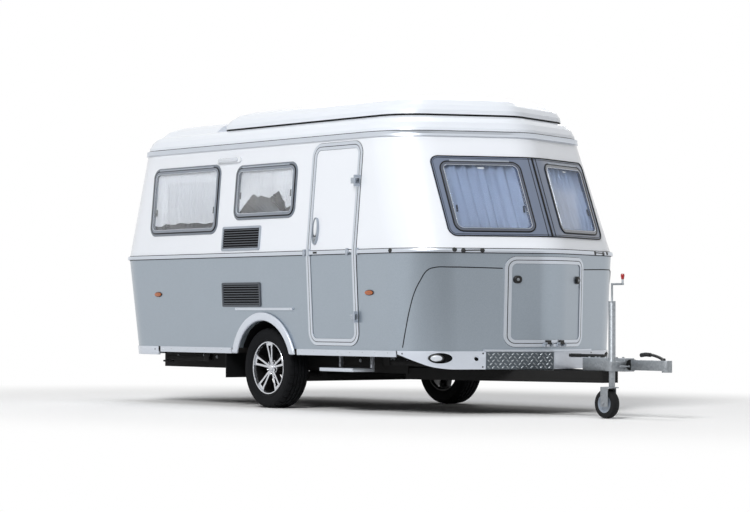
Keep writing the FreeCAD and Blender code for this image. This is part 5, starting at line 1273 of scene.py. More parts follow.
@dataclass
class Windows(Assembly):
    """The panes with their rims and painted highlight lines, the frames, seals and latches."""

    rim: float = 0.022
    step: float = 0.004
    crown: float = 0.002
    corner: float = 0.055
    band: Opening = Opening("band", "front", -0.716, 0.716, 1.238, 1.806, Hem.LONG, 1)
    joints: Outline = ((0.0, 0.0072), (0.034, 0.0024), (-0.034, 0.0024))

    def build(self) -> None:
        """Make every window's pieces."""
        panes = Bench.solid_copy(self.nodes["window_panes"], 0.0)
        with Bench.editing(panes):
            Bench.pick_faces(panes, lambda face: face.calc_center_median().x > 0.9)
            bpy.ops.mesh.separate(type="SELECTED")
        front = [obj for obj in bpy.context.selected_objects if obj is not panes][0]
        self.glaze(panes, Stock.PANE_RIM, Stock.PANE)
        self.glaze(front, Stock.PANE_RIM_FRONT, Stock.PANE_FRONT)
        self.keep("side_panes", [panes], Stock.PANE, instead=["window_panes"], dress=False)
        self.keep("front_panes", [front], Stock.PANE_FRONT, dress=False)
        self.keep_copy("window_frame_mouldings", "window_frames", 0.0012, Stock.EDGE)
        seals = [self.outline(each, 0.003, 0.0050 if each.wall == "front" else 0.0040, -0.002)
                 for each in OPENINGS]
        self.keep("window_seals", seals, Stock.RUBBER)
        # A bright metal line just inside each pane's rim: painted highlight along the rim's inner edge.
        highlight_lines = [self.outline(each, -self.rim, 0.0019, 0.0008) for each in OPENINGS]
        self.keep("pane_lips", highlight_lines, Stock.RAIL)
        tabs = [each.spot(self, (each.start + each.end) / 2, each.high - self.rim - 0.022).shifted(out=0.001)
                for each in OPENINGS[-2:]]
        tab = rounded_outline(0.048, 0.009, 0.003)
        self.keep("pane_tabs", [Bench.plate(tab, 0.0012, spot) for spot in tabs], Stock.IVORY)
        latches = [each.spot(self, along, each.low + 0.16).shifted(out=-0.003)
                   for each in OPENINGS for along in (each.start + 0.045, each.end - 0.045)]
        latch = Bench.block((-0.007, -0.026, -0.012), (0.007, 0.026, -0.002), 0.003)
        self.stamp("window_latches", latch, latches, Stock.BLACK)
        self.keep("front_window_joint", self.band_lines(), Stock.RUBBER)
        bars = [[each.spot(self, along, each.high - 0.010).moved(0, 0.018, 0.002)
                 for along in spaced(each.start + 0.07, each.end - 0.07, 13)] for each in OPENINGS]
        self.keep("window_hinge_bars", [Bench.pipe(points, 0.0055) for points in bars], Stock.GREY)

    @staticmethod
    def facing(face: Face) -> int:
        """Whether a pane's face looks outwards, inwards, or is an edge.

        Args:
            face: The face.

        Returns:
            1, -1 or 0.
        """
        middle = face.calc_center_median()
        axis = 1 if -2.2 < middle.x < 0.9 else 0
        lean = face.normal[axis] * math.copysign(1, middle[axis])
        return 0 if abs(lean) < 0.7 else int(math.copysign(1, lean))

    def glaze(self, obj: Thing, ring: Finish, clear: Finish) -> None:
        """Give panes their grey rims and a raised clear middle.

        Args:
            obj: The panes.
            ring: The rims' finish.
            clear: The clear middle's finish.
        """
        ring.dress(obj, clear)
        for way in (1, -1):
            with Bench.editing(obj):
                Bench.pick_faces(obj, lambda face: self.facing(face) == way and face.material_index == 0)
                bpy.ops.mesh.inset(thickness=self.rim, use_boundary=True, use_even_offset=True)
                Bench.paint(obj, 1)
                if way > 0:
                    bpy.ops.mesh.inset(thickness=self.step, depth=self.crown, use_even_offset=True)
                bpy.ops.mesh.inset(thickness=self.step, use_even_offset=True)
        Bench.soften(obj, 0.0012, sharp=30)

    def outline(self, opening: Opening, grow: float, radius: float, out: float,
                name: str = "window_panes") -> Thing:
        """A line round a window, a little outside or inside its pane's edge.

        Args:
            opening: The window.
            grow: How far outside the pane's edge it runs.
            radius: Its radius.
            out: How far outside the pane's face its middle lies.
            name: The solid that it follows.

        Returns:
            The line.
        """
        box = (opening.start, opening.end, opening.low, opening.high)
        return self.border(box, self.corner, grow, radius,
                           lambda along, z: opening.spot(self, along, z, name), out)

    def band_lines(self) -> list[Thing]:
        """The dark lines round the front window surround and the joint at its middle.

        Returns:
            The lines.
        """
        name = "front_window_band"
        lines = [self.outline(self.band, -0.003, 0.0042, 0.001, name),
                 self.outline(self.band, -0.016, 0.0016, 0.0006, name)]
        for across, radius in self.joints:
            levels = spaced(self.band.low + 0.004, self.band.high - 0.004, 13)
            points = [self.front_spot(across, level, name).moved(out=0.001) for level in levels]
            lines.append(Bench.pipe(points, radius))
        return lines


@dataclass
class Curtains(Assembly):
    """The pleated curtains behind the windows."""

    inside: float = 0.020
    depth: float = 0.0045
    front_depth: float = 0.017
    grow: float = 0.004
    inset: float = 0.02
    rows: int = 12
    parts: int = 24

    def build(self) -> None:
        """Hang a curtain behind every window."""
        for opening in OPENINGS:
            cloth = self.cloth(opening)
            finish = Stock.CURTAIN_GREY if opening.wall == "front" else Stock.CURTAIN
            self.keep("curtain_" + opening.name, [cloth], finish,
                      instead=["curtains"] if opening is OPENINGS[0] else ())

    def cloth(self, opening: Opening) -> Thing:
        """One curtain as a pleated sheet.

        Args:
            opening: Its window.

        Returns:
            The curtain.
        """
        Bench.clear()
        bpy.ops.mesh.primitive_grid_add(x_subdivisions=opening.pleats * 8, y_subdivisions=self.rows, size=1)
        obj = bpy.context.active_object
        skin = {}
        columns = spaced(opening.start - self.grow, opening.end + self.grow, self.parts + 1)
        for column, along in enumerate(columns):
            for row, level in enumerate((opening.low - self.grow, opening.high + self.grow)):
                near = min(max(along, opening.start + self.inset), opening.end - self.inset)
                height = min(max(level, opening.low + self.inset), opening.high - self.inset)
                spot = opening.spot(self, near, height)
                place = spot.moved(spot.sense() * (along - near), level - height, -self.inside)
                skin[column, row] = (place, spot.out)
        with Bench.editing(obj) as mesh:
            for vert in mesh.verts:
                vert.co = self.hang(opening, skin, vert.co.x + 0.5, vert.co.y + 0.5)
        return Bench.settle(obj, 60)

    def hang(self, opening: Opening, skin: dict, u: float, v: float) -> Vector:
        """Where a point of the cloth hangs.

        Args:
            opening: The window.
            skin: Points and outward directions along the cloth's head and foot.
            u: The point's share of the width.
            v: The point's share of the height, from the hem to the head.

        Returns:
            The point.
        """
        more = self.grow / (opening.high - opening.low)
        foot = (opening.hem.at(u) + more) / (1 + 2 * more)
        share = foot + (1 - foot) * v
        place = min(u * self.parts, self.parts - 0.001)
        column, part = int(place), place % 1
        ends = [[near.lerp(far, part) for near, far in zip(skin[column, row], skin[column + 1, row])]
                for row in (0, 1)]
        point = ends[0][0].lerp(ends[1][0], share)
        out = ends[0][1].lerp(ends[1][1], share).normalized()
        drift = math.sin(u * 9.1 + opening.pleats) * 1.2 + math.sin(u * 23.7) * 0.5
        fold = math.sin(u * opening.pleats * math.tau + drift + 0.5 * (1 - v) * math.sin(u * 17))
        slow = math.sin(u * 31 + 2)
        if opening.wall == "front":
            size = self.front_depth * (0.8 + 0.2 * slow) * min(1.0, 14 * u, 14 * (1 - u))
            return point + out * ((min(1.0, 1.7 * fold) - 0.75) * size)
        return point + out * (fold * self.depth * (0.55 + 0.45 * slow) * (0.75 + 0.25 * (1 - v)))

    @staticmethod
    def cut(cloth: Thing, opening: Opening) -> tuple[float, float, float]:
        """The flat size that a curtain was cut to.

        Args:
            cloth: The curtain.
            opening: Its window.

        Returns:
            Its width, its length and its area.
        """
        area = sum(face.area for face in cloth.data.polygons)
        length = opening.high - opening.low + 0.008
        width = max(area / length, opening.end - opening.start + 0.008) * 1.02
        return width, length, min(max(area, 0.3 * width * length), width * length)


@dataclass
class Bellows(Assembly):
    """The folded cloth wall under the lifting roof."""

    low: float = 2.098
    high: float = 2.126
    folds: int = 7
    depth: float = 0.009
    round_about: Point = (-0.15, 0, 0)
    flat_length: float = 8.0

    def build(self) -> None:
        """Fold the cloth wall."""
        cloth = Bench.solid_copy(self.nodes["roof_bellows"], 0.0, flat=1.0)
        cloth.name = "pleated_bellows"
        levels = spaced(self.low, self.high, self.folds * 2 + 1)
        for level in levels[1:-1]:
            with Bench.editing(cloth):
                bpy.ops.mesh.bisect(plane_co=(0, 0, level), plane_no=(0, 0, 1))
        for level in levels[1::2]:
            self.fold(cloth, level)
        Bench.settle(cloth, 20)
        Stock.CANVAS.dress(cloth)
        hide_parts("roof_bellows")
        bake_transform(cloth)
        LOG.info("%s joins the body and the roof", cloth.name)

    def fold(self, cloth: Thing, level: float) -> None:
        """Draw the cloth in at a height.

        Args:
            cloth: The cloth.
            level: The height.
        """
        with Bench.editing(cloth) as mesh:
            mesh.normal_update()
            moves = []
            for vert in mesh.verts:
                out = Vector((vert.normal.x, vert.normal.y, 0))
                if abs(vert.co.z - level) < 1e-4 and out.length > 0.1:
                    away = Vector((vert.co.x, vert.co.y, 0)) - Vector(self.round_about)
                    moves.append((vert, out.normalized() * (1 if out.dot(away) > 0 else -1)))
            for vert, out in moves:
                vert.co -= out * self.depth


@dataclass
class SmallParts(Assembly):
    """Masters of the small fasteners that several assemblies stamp."""

    @staticmethod
    def screw(radius: float, height: float = 0.0022) -> Thing:
        """A domed screw head with a dimple in it, about the origin."""
        return Bench.turned([(0.0, height * 0.45), (radius * 0.35, height * 0.5), (radius * 0.45, height),
                             (radius * 0.8, height * 0.75), (radius, 0.0), (0.0, 0.0)], 10)

    @staticmethod
    def bolt(radius: float = 0.009, height: float = 0.007) -> Thing:
        """A hexagonal bolt head on a washer, about the origin.

        Args:
            radius: The head's radius.
            height: Its height with the washer.

        Returns:
            The bolt head.
        """
        foot = height * 0.2
        head = Bench.turned([(0.0, height), (radius * 0.85, height), (radius, height * 0.8), (radius, foot),
                             (0.0, foot)], 6)
        washer = Bench.turned([(0.0, foot), (radius * 1.4, foot), (radius * 1.5, 0.0), (0.0, 0.0)], 20)
        return Bench.settle(Bench.joined("bolt", [head, washer]))


@dataclass
class Rails(SmallParts):
    """Seal lines beside the rails, their screws and the eyelets of the awning."""

    gutter_low: float = 1.9625
    waist_low: float = 1.1245
    waist_high: float = 1.1515
    centre: Pair = (-0.55, 0.0)
    points: int = 220
    screw_runs: Sequence[tuple] = (
        (-1.95, -1.03, 9, 0.428), (-0.12, 0.895, 8, 0.428), (-0.915, -0.235, 2, 0.7345))
    seen_eyelets: Outline = ((390.0, 250.2), (463.5, 250.2), (482.5, 250.0), (607.0, 253.0))
    seen_seam: Outline = ((402.6, 347.6), (405.5, 330.5), (410.3, 306.5), (414.6, 292.0), (419.9, 281.0),
                          (427.8, 269.9), (434.2, 267.5), (450.2, 267.0), (477.0, 267.5), (502.6, 268.3))
    cap_places: Pair = (-0.044, 0.584)
    knob: float = 0.016

    def build(self) -> None:
        """Make the lines, screws and eyelets."""
        upper, lower = [["%s_wall_%s" % (row, wall) for wall in ("right", "left", "front", "rear")]
                        + ["door_" + row] for row in ("upper", "lower")]
        self.keep("roof_seal_lines", [self.ring(self.gutter_low - 0.002, 0.0014, 0.0030, *upper),
                                      self.ring(self.gutter_low + 0.022, 0.0004, 0.0026, "body_rails",
                                                "roof_fixed")], Stock.RUBBER)
        self.keep("waist_seal_lines", [self.ring(self.waist_high + 0.002, 0.0010, 0.0024, *upper),
                                       self.ring(self.waist_low - 0.002, 0.0010, 0.0030, *lower)],
                  Stock.RUBBER)
        screws = [self.side_spot(x, z, side, "body_rails") for side in Side
                  for low, high, count, z in self.screw_runs for x in spaced(low, high, count)]
        self.stamp("sill_screws", self.screw(0.0042), screws, Stock.CHROME)
        self.keep("awning_eyelets", self.eyelets(), Stock.BLACK)
        self.keep("front_seam", self.front_seam(), Stock.RUBBER)
        caps = [Bench.block((x - 0.011, -1.0004, 1.114), (x + 0.011, -0.975, 1.164), 0.004)
                for x in self.cap_places]
        self.keep("rail_end_caps", caps, Stock.GREY)

    def ring(self, level: float, out: float, radius: float, *names: str) -> Thing:
        """A thin line all round the body at a height.

        Args:
            level: The height.
            out: How far outside the skin its middle runs.
            radius: Its radius.
            *names: The solids that it lies on.

        Returns:
            The line.
        """
        line = []
        for index in range(self.points):
            turn = math.tau * index / self.points
            way = Vector((math.cos(turn), 0.42 * math.sin(turn), 0)).normalized()
            start = Vector((*self.centre, level)) + way * 5
            line.append(self.hit(start, -way, *names).moved(out=out))
        return Bench.pipe(line, radius, closed=True, sides=2)

    def eyelets(self) -> list[Thing]:
        """The dark knobs and awning eyelets on the waist rail, and the bar between two of them.

        Returns:
            The knobs, and the bars of both sides.
        """
        knob = Bench.plate(oval(0.038, 0.033, 28), self.knob, bevel=0.003)
        spots = []
        for place in self.seen_eyelets:
            found = self.hit(*Viewpoint().ray(*place), "body_rails")
            for way in (1, -1):
                turn = Vector((1, way, 1))
                spot = Spot(found.place * turn, found.out * turn, found.level * turn * way)
                spots.append(spot.shifted(out=0.0005 - self.knob))
        bars = []
        for first, last in ((2, 4), (3, 5)):
            near, far = [spots[index].moved(out=self.knob - 0.0005) for index in (first, last)]
            bars.append(Bench.pipe([near.lerp(far, share) for share in spaced(0, 1, 7)], 0.0045, bend=True))
        return [self.stamped(knob, spots), *bars]

    def front_seam(self) -> list[Thing]:
        """The joint between the side panels and the moulded front, on both sides.

        Returns:
            The two lines.
        """
        right = [self.hit(*Viewpoint().ray(*place), "lower_wall_front", "lower_wall_right", "body_rails")
                 .moved(out=0.0002) for place in self.seen_seam]
        return [Bench.pipe([point * Vector((1, sign, 1)) for point in right], 0.0036, bend=True, sides=2)
                for sign in (1, -1)]


@dataclass
class EntranceDoor(SmallParts):
    """The door's handle, hinges, seals, painted shade lines and rail ends."""

    handle_x: float = 0.078
    handle_z: float = 1.294
    height: float = 0.196
    width: float = 0.066
    depth: float = 0.020
    box: tuple[float, float, float, float] = (0.0, 0.540, 0.500, 1.900)
    corner: float = 0.070
    trim: float = 0.022
    gap: float = 0.005
    cap_places: Pair = (0.017, 0.468)
    hinge_levels: Pair = (0.677, 1.640)
    lock: Outline = ((0.0, 0.004), (0.0025, 0.004), (0.003, 0.006), (0.0085, 0.006), (0.0105, 0.0045),
                     (0.0115, 0.0), (0.0, 0.0))

    def build(self) -> None:
        """Make the pieces and fix them to the door."""
        spot = self.side_spot(self.handle_x, self.handle_z, Side.RIGHT, "door_upper")
        self.keep("door_handle_cup", [self.cup(spot)], Stock.GREY, "door", ["door_handle"])
        # A near-black oval on the cup's floor: painted shade inside the handle's recess.
        floor = Bench.plate(oval(self.width - 0.012, self.height - 0.012), 0.0010, spot.shifted(out=0.0042))
        self.keep("door_handle_hollow", [floor], Stock.HOLLOW_SHADE, "door")
        pull = [(u + 0.003, v + 0.026) for u, v in oval(0.036, 0.122)]
        self.keep("door_pull", [Bench.plate(pull, 0.0165, spot.shifted(out=0.003), 0.005)], Stock.IVORY,
                  "door")
        plate = [(u, min(v, -0.036)) for u, v in oval(self.width - 0.014, self.height - 0.016) if v < -0.030]
        self.keep("door_lock", [Bench.plate(plate, 0.011, spot.shifted(out=0.004), 0.002),
                                Bench.turned(self.lock, 28, spot.moved(up=-0.058, out=0.015), spot.out)],
                  Stock.ZINC, "door")
        self.keep_copy("hinge_leaves_rounded", "door_hinge_leaves", 0.0014, Stock.GREY, "door")
        screws = [self.side_spot(0.521, level + rise, Side.RIGHT, "door_hinge_leaves")
                  for level in self.hinge_levels for rise in (0.011, -0.011)]
        self.stamp("hinge_screws", self.screw(0.0036, 0.0016), screws, Stock.CHROME, "door")
        # Beside the rubber gasket, the trim's inner line and the surround's outer line are painted shade.
        for name, grow, radius, out, finish, body in (
                ("door_gasket", self.gap / 2, 0.0032, 0.0024, Stock.RUBBER, "caravan"),
                ("door_trim_shade", -self.trim, 0.0016, 0.0006, Stock.SHADE, "door"),
                ("door_surround_shade", self.gap + self.trim, 0.0026, 0.0008, Stock.RUBBER, "caravan")):
            line = self.border(self.box, self.corner, grow, radius, lambda along, z: self.side_spot(
                along, z, Side.RIGHT, "door_upper", "door_lower"), out)
            self.keep(name, [line], finish, body)
        caps = [Bench.block((x - 0.009, -1.0004, 1.114), (x + 0.009, -0.980, 1.164), 0.004)
                for x in self.cap_places]
        self.keep("door_rail_caps", caps, Stock.GREY, "door")
        catch = Bench.block((0.072, -1.0008, 1.130), (0.122, -0.990, 1.146), 0.003)
        self.keep("door_rail_catch", [catch], Stock.BLACK, "door")

    def cup(self, spot: Spot) -> Thing:
        """The bright oval cup of the handle, open to the outside.

        Args:
            spot: The handle's middle on the door.

        Returns:
            The cup.
        """
        cup = Bench.plate(oval(self.width, self.height), self.depth, spot)
        with Bench.editing(cup):
            Bench.sink(cup, spot.out, 0.0055, self.depth - 0.004)
        return Bench.soften(cup, 0.0018, 3)


@dataclass
class Locker(SmallParts):
    """The gas locker's lock barrels, its rubber line and its painted shade lines."""

    lock_y: float = 0.281
    lock_z: float = 0.940
    box: tuple[float, float, float, float] = (-0.340, 0.340, 0.500, 1.072)
    corner: float = 0.055
    trim: float = 0.022
    gap: float = 0.005
    escutcheon: Outline = ((0.0, 0.002), (0.012, 0.002), (0.014, 0.006), (0.021, 0.006), (0.0255, 0.003),
                           (0.0262, -0.004), (0.0, -0.004))
    barrel: Outline = ((0.0, 0.004), (0.0018, 0.004), (0.0022, 0.006), (0.0085, 0.006), (0.010, 0.0045),
                       (0.010, 0.0), (0.0, 0.0))

    def build(self) -> None:
        """Make the pieces and fix them to the locker's lid and to the wall round it."""
        # Beside the rubber gasket, the trim's inner line and the surround's outer line are painted shade.
        for name, grow, radius, out, finish, body in (
                ("locker_gasket", self.gap / 2, 0.0036, 0.0024, Stock.RUBBER, "caravan"),
                ("locker_trim_shade", -self.trim, 0.0016, 0.0006, Stock.SHADE, "locker_lid"),
                ("locker_surround_shade", self.gap + self.trim, 0.0024, 0.0008, Stock.RUBBER, "caravan")):
            line = self.border(self.box, self.corner, grow, radius,
                               lambda along, z: self.front_spot(along, z, "locker_hatch"), out)
            self.keep(name, [line], finish, body)
        spots = [self.front_spot(side.value * self.lock_y, self.lock_z, "locker_fittings") for side in Side]
        self.stamp("lock_escutcheons", Bench.turned(self.escutcheon, 36), spots, Stock.BLACK, "locker_lid")
        self.stamp("lock_barrels", Bench.turned(self.barrel, 28), spots, Stock.ZINC, "locker_lid")


@dataclass
class FridgeGrilles(Assembly):
    """The two slatted grilles of the refrigerator."""

    along: float = -0.863
    levels: Pair = (1.263, 0.841)
    length: float = 0.500
    height: float = 0.182
    edge: float = 0.017
    slats: int = 8
    stand: float = 0.008
    section: Outline = ((-0.0040, 0.0012), (-0.0048, 0.0072), (-0.0036, 0.0080), (0.0020, 0.0058),
                        (0.0034, 0.0030), (0.0030, 0.0018))

    def build(self) -> None:
        """Make both grilles in place of the plain ones."""
        spots = [self.side_spot(self.along, level, Side.RIGHT, "upper_wall_right", "lower_wall_right")
                 for level in self.levels]
        upper, lower = [self.frame(spot) for spot in spots]
        self.keep("grille_frame", [upper], Stock.GREY, instead=["fridge_grilles"])
        self.keep("grille_frame.001", [lower], Stock.SLATS)
        self.keep("grille_slats", [slat for spot in spots for slat in self.louvres(spot)], Stock.SLATS)
        # Near-black plates behind the slats: painted shade inside the grilles.
        hollow = rounded_outline(self.length - 0.02, self.height - 0.02, 0.008)
        self.keep("grille_hollows", [Bench.plate(hollow, 0.001, spot) for spot in spots], Stock.HOLLOW_SHADE)

    def frame(self, spot: Spot) -> Thing:
        """A grille's frame with a rounded face.

        Args:
            spot: The grille's middle on the wall.

        Returns:
            The frame.
        """
        frame = Bench.plate(rounded_outline(self.length, self.height, 0.014), self.stand, spot)
        with Bench.editing(frame):
            Bench.sink(frame, spot.out, self.edge, self.stand - 0.0012)
            bpy.ops.mesh.delete(type="FACE")
        return Bench.soften(frame, 0.0022)

    def louvres(self, spot: Spot) -> list[Thing]:
        """The tilted slats of a grille.

        Args:
            spot: The grille's middle on the wall.

        Returns:
            The slats.
        """
        pieces = []
        inner = self.height - 2 * self.edge
        half = (self.length - 2 * self.edge) / 2 + 0.002
        for index in range(self.slats):
            rise = -inner / 2 + (index + 0.5) * inner / self.slats
            slat = Bench.chain([(-half, rise + v, out) for v, out in self.section], closed=True)
            Bench.draw_out(slat, (2 * half, 0, 0))
            Bench.turn_to(slat, spot.place, spot.out, spot.level)
            pieces.append(Bench.settle(slat))
        return pieces


@dataclass
class Lamps(SmallParts):
    """Awning lamp, position lamps, side markers and tail lamps."""

    awning_x: float = -1.090
    awning_z: float = 1.859
    marker_z: float = 0.848
    marker_x: Pair = (-2.003, 0.704)
    tail_y: float = 0.640
    tail_z: float = 0.560
    tail_fields: Sequence[tuple] = (
        ("red", 0.083, 0.118, Stock.RED), ("amber", -0.010, 0.060, Stock.AMBER),
        ("clear", -0.088, 0.090, Stock.LENS))
    lamp_half: Pair = (0.043, 0.0225)
    lamp_back: float = 0.026
    lamp_turn: float = 38.0
    recess_half: Pair = (0.086, 0.037)
    dome: Outline = ((0.0, 0.0110), (0.30, 0.0104), (0.60, 0.0086), (0.82, 0.0056), (0.95, 0.0022),
                     (1.0, -0.006), (0.0, -0.006))
    ring: Outline = ((0.96, 0.0010), (1.06, 0.0044), (1.22, 0.0030), (1.26, -0.007), (0.96, -0.007))
    recess_shade_disc: Outline = ((0.0, 0.0), (0.35, 0.0), (0.7, 0.0), (0.97, 0.0))

    def build(self) -> None:
        """Make every lamp in place of its plain solid."""
        spot = self.side_spot(self.awning_x, self.awning_z, Side.RIGHT, "upper_wall_right")
        body = Bench.plate(rounded_outline(0.308, 0.042, 0.0205, 8), 0.014, spot, 0.003)
        self.keep("awning_lamp_body", [body], Stock.IVORY, instead=["white_lamps"])
        lens = Bench.plate(rounded_outline(0.250, 0.032, 0.0155, 8), 0.018, spot.shifted(out=0.012), 0.008)
        self.keep("awning_lamp_lens", [lens], Stock.LENS)
        spots = [self.lamp_spot(side) for side in Side]
        for name, piece, finish in (
                ("position_lamp_lenses", Bench.turned(self.dome, 48), Stock.LENS),
                ("position_lamp_rings", Bench.turned(self.ring, 48, closed=True), Stock.BLACK)):
            piece.scale = (*self.lamp_half, 1)
            self.stamp(name, Bench.settle(piece), spots, finish)
        # The recess floors take the near-black finish: painted shade.
        self.keep("lamp_recess_linings", [self.recess_floor(spot) for spot in spots], Stock.HOLLOW_SHADE)
        walls = ["lower_wall_" + wall for wall in ("right", "left", "rear", "front")]
        markers = [self.side_spot(x, self.marker_z, side, *walls) for side in Side for x in self.marker_x]
        base = Bench.plate(oval(0.100, 0.041, 32), 0.004, bevel=0.0012)
        self.stamp("marker_bases", base, markers, Stock.BLACK, instead=["side_markers"])
        lens = Bench.plate(oval(0.090, 0.034, 32), 0.0115, bevel=0.005)
        self.stamp("marker_lenses", lens, markers, Stock.AMBER)
        self.tail_lamps()

    def recess_floor(self, lamp: Spot) -> Thing:
        """A near-black disc on the floor of a position lamp's oval recess: painted shade.

        Args:
            lamp: The lamp's spot.

        Returns:
            The disc.
        """
        middle = lamp.shifted(-math.copysign(self.lamp_back, lamp.place.y))
        recess_shade_disc = Bench.turned(self.recess_shade_disc, 48)
        with Bench.editing(recess_shade_disc) as mesh:
            for vert in mesh.verts:
                start = middle.moved(vert.co.x * self.recess_half[0], vert.co.y * self.recess_half[1], 0.2)
                vert.co = self.hit(start, -lamp.out, "front_bumper").place + lamp.out * 0.0006
        return Bench.settle(recess_shade_disc)

    def lamp_spot(self, side: Side) -> Spot:
        """The middle of a position lamp's face.

        Args:
            side: Its side.

        Returns:
            The spot.
        """
        verts = [vert.co for vert in self.nodes["white_lamps"].data.vertices
                 if vert.co.z < 0.6 and vert.co.y * side.value > 0]
        turn = math.radians(self.lamp_turn)
        out = Vector((math.cos(turn), side.value * math.sin(turn), 0))
        return self.hit(sum(verts, Vector()) / len(verts) + out * 0.5, -out, "white_lamps")

    def tail_lamps(self) -> None:
        """The tail lamps with their red, amber and clear fields."""
        spots = [self.rear_spot(side.value * self.tail_y, self.tail_z, "lower_wall_rear") for side in Side]
        housing = rounded_outline(0.300, 0.090, 0.022)
        self.keep("tail_lamp_housings", [Bench.plate(housing, 0.012, spot, 0.003) for spot in spots],
                  Stock.BLACK, instead=["tail_lamps"])
        for word, middle, width, finish in self.tail_fields:
            fields = []
            for side, spot in zip(Side, spots):
                sign = 1 if spot.level.y * side.value > 0 else -1
                fields.append(Bench.plate(rounded_outline(width, 0.074, 0.012), 0.011,
                                          spot.shifted(sign * middle, 0, 0.010), 0.004))
            self.keep("tail_lamp_" + word, fields, finish)


@dataclass
class Bumpers(SmallParts):
    """The rounded spats, the bumpers' screws and the tread plate's studs."""

    pitch: float = 0.0325
    row: float = 0.0225
    rows: int = 5
    columns: int = 14
    first: Pair = (-0.468, 0.332)
    lean: float = 40.0
    hole: Pair = (0.547, 0.385)
    hole_shade_disc: Outline = ((0.0, 0.0012), (0.0168, 0.0012), (0.0176, 0.0004), (0.0176, -0.001), (0.0, -0.001))

    def build(self) -> None:
        """Make the pieces on the bumpers and wheel arches."""
        self.keep_copy("wheel_arch_spats", "wheel_arch_trims", 0.013, Stock.BUMPER, segments=5)
        for node in ("front_bumper", "rear_bumper"):
            self.keep_copy(node + "_moulding", node, 0.0035, Stock.BUMPER, segments=3)
        self.studs()
        screws = []
        for side in Side:
            screws += [self.front_spot(side.value * 0.505, level, "front_bumper", "tread_plate")
                       for level in (0.428, 0.335)]
            screws.append(self.side_spot(1.03, 0.425, side, "front_bumper"))
            screws.append(self.side_spot(-2.07, 0.420, side, "rear_bumper"))
        self.stamp("bumper_screws", self.screw(0.0062, 0.0026), screws, Stock.BLACK)
        # Near-black discs in the bumper's holes: painted shade.
        holes = [self.front_spot(side.value * self.hole[0], self.hole[1], "front_bumper") for side in Side]
        self.stamp("bumper_hole_liners", Bench.turned(self.hole_shade_disc, 32), holes, Stock.HOLLOW_SHADE)

    def studs(self) -> None:
        """The raised lozenges of the tread plate, in turned and staggered rows."""
        master = Bench.plate(oval(0.0260, 0.0116, 10), 0.0032)
        with Bench.editing(master):
            Bench.pick_faces(master, lambda face: face.normal.z > 0.9)
            bpy.ops.transform.resize(value=(0.55, 0.45, 1.0))
        spots = []
        for row in range(self.rows):
            for column in range(self.columns):
                across = self.first[0] + self.pitch * (column + row % 2 / 2)
                spot = self.front_spot(across, self.first[1] + self.row * row, "tread_plate")
                lean = self.lean if (row + column) % 2 else -self.lean
                turn = Matrix.Rotation(math.radians(lean), 3, spot.out)
                spots.append(Spot(spot.moved(out=-0.0002), spot.out, turn @ spot.level))
        # The studs take the lighter metal: painted highlight.
        self.stamp("tread_studs", Bench.settle(master, 60), spots, Stock.STUD_HIGHLIGHT)


@dataclass
class Undercarriage(SmallParts):
    """The bolts and lightening holes of the chassis and the brake rods."""

    bolts: Sequence[float] = (-2.3, -1.75, -1.25, 0.1, 0.65)
    holes: Sequence[float] = (-2.05, -1.5, 0.38)
    hole_rim: Outline = ((0.020, 0.0015), (0.034, 0.0015), (0.036, 0.0), (0.036, -0.001), (0.0, -0.001),
                         (0.0, 0.0004), (0.018, 0.0004))
    rod: Sequence[Point] = ((-0.445, 0.22, 0.300), (0.4, 0.15, 0.305), (1.5, 0.04, 0.310))

    def build(self) -> None:
        """Make the pieces under the floor."""
        bolts, holes = [[self.side_spot(x, z, side, "chassis_frame") for side in Side for x in places]
                        for places, z in ((self.bolts, 0.36), (self.holes, 0.345))]
        self.stamp("chassis_bolts", self.bolt(), bolts, Stock.ZINC)
        self.stamp("chassis_hole_rims", Bench.turned(self.hole_rim, 28), holes, Stock.STEEL)
        rods = [Bench.pipe([(x, side.value * y, z) for x, y, z in self.rod], 0.005, bend=True)
                for side in Side]
        self.keep("brake_rods", rods, Stock.ZINC)


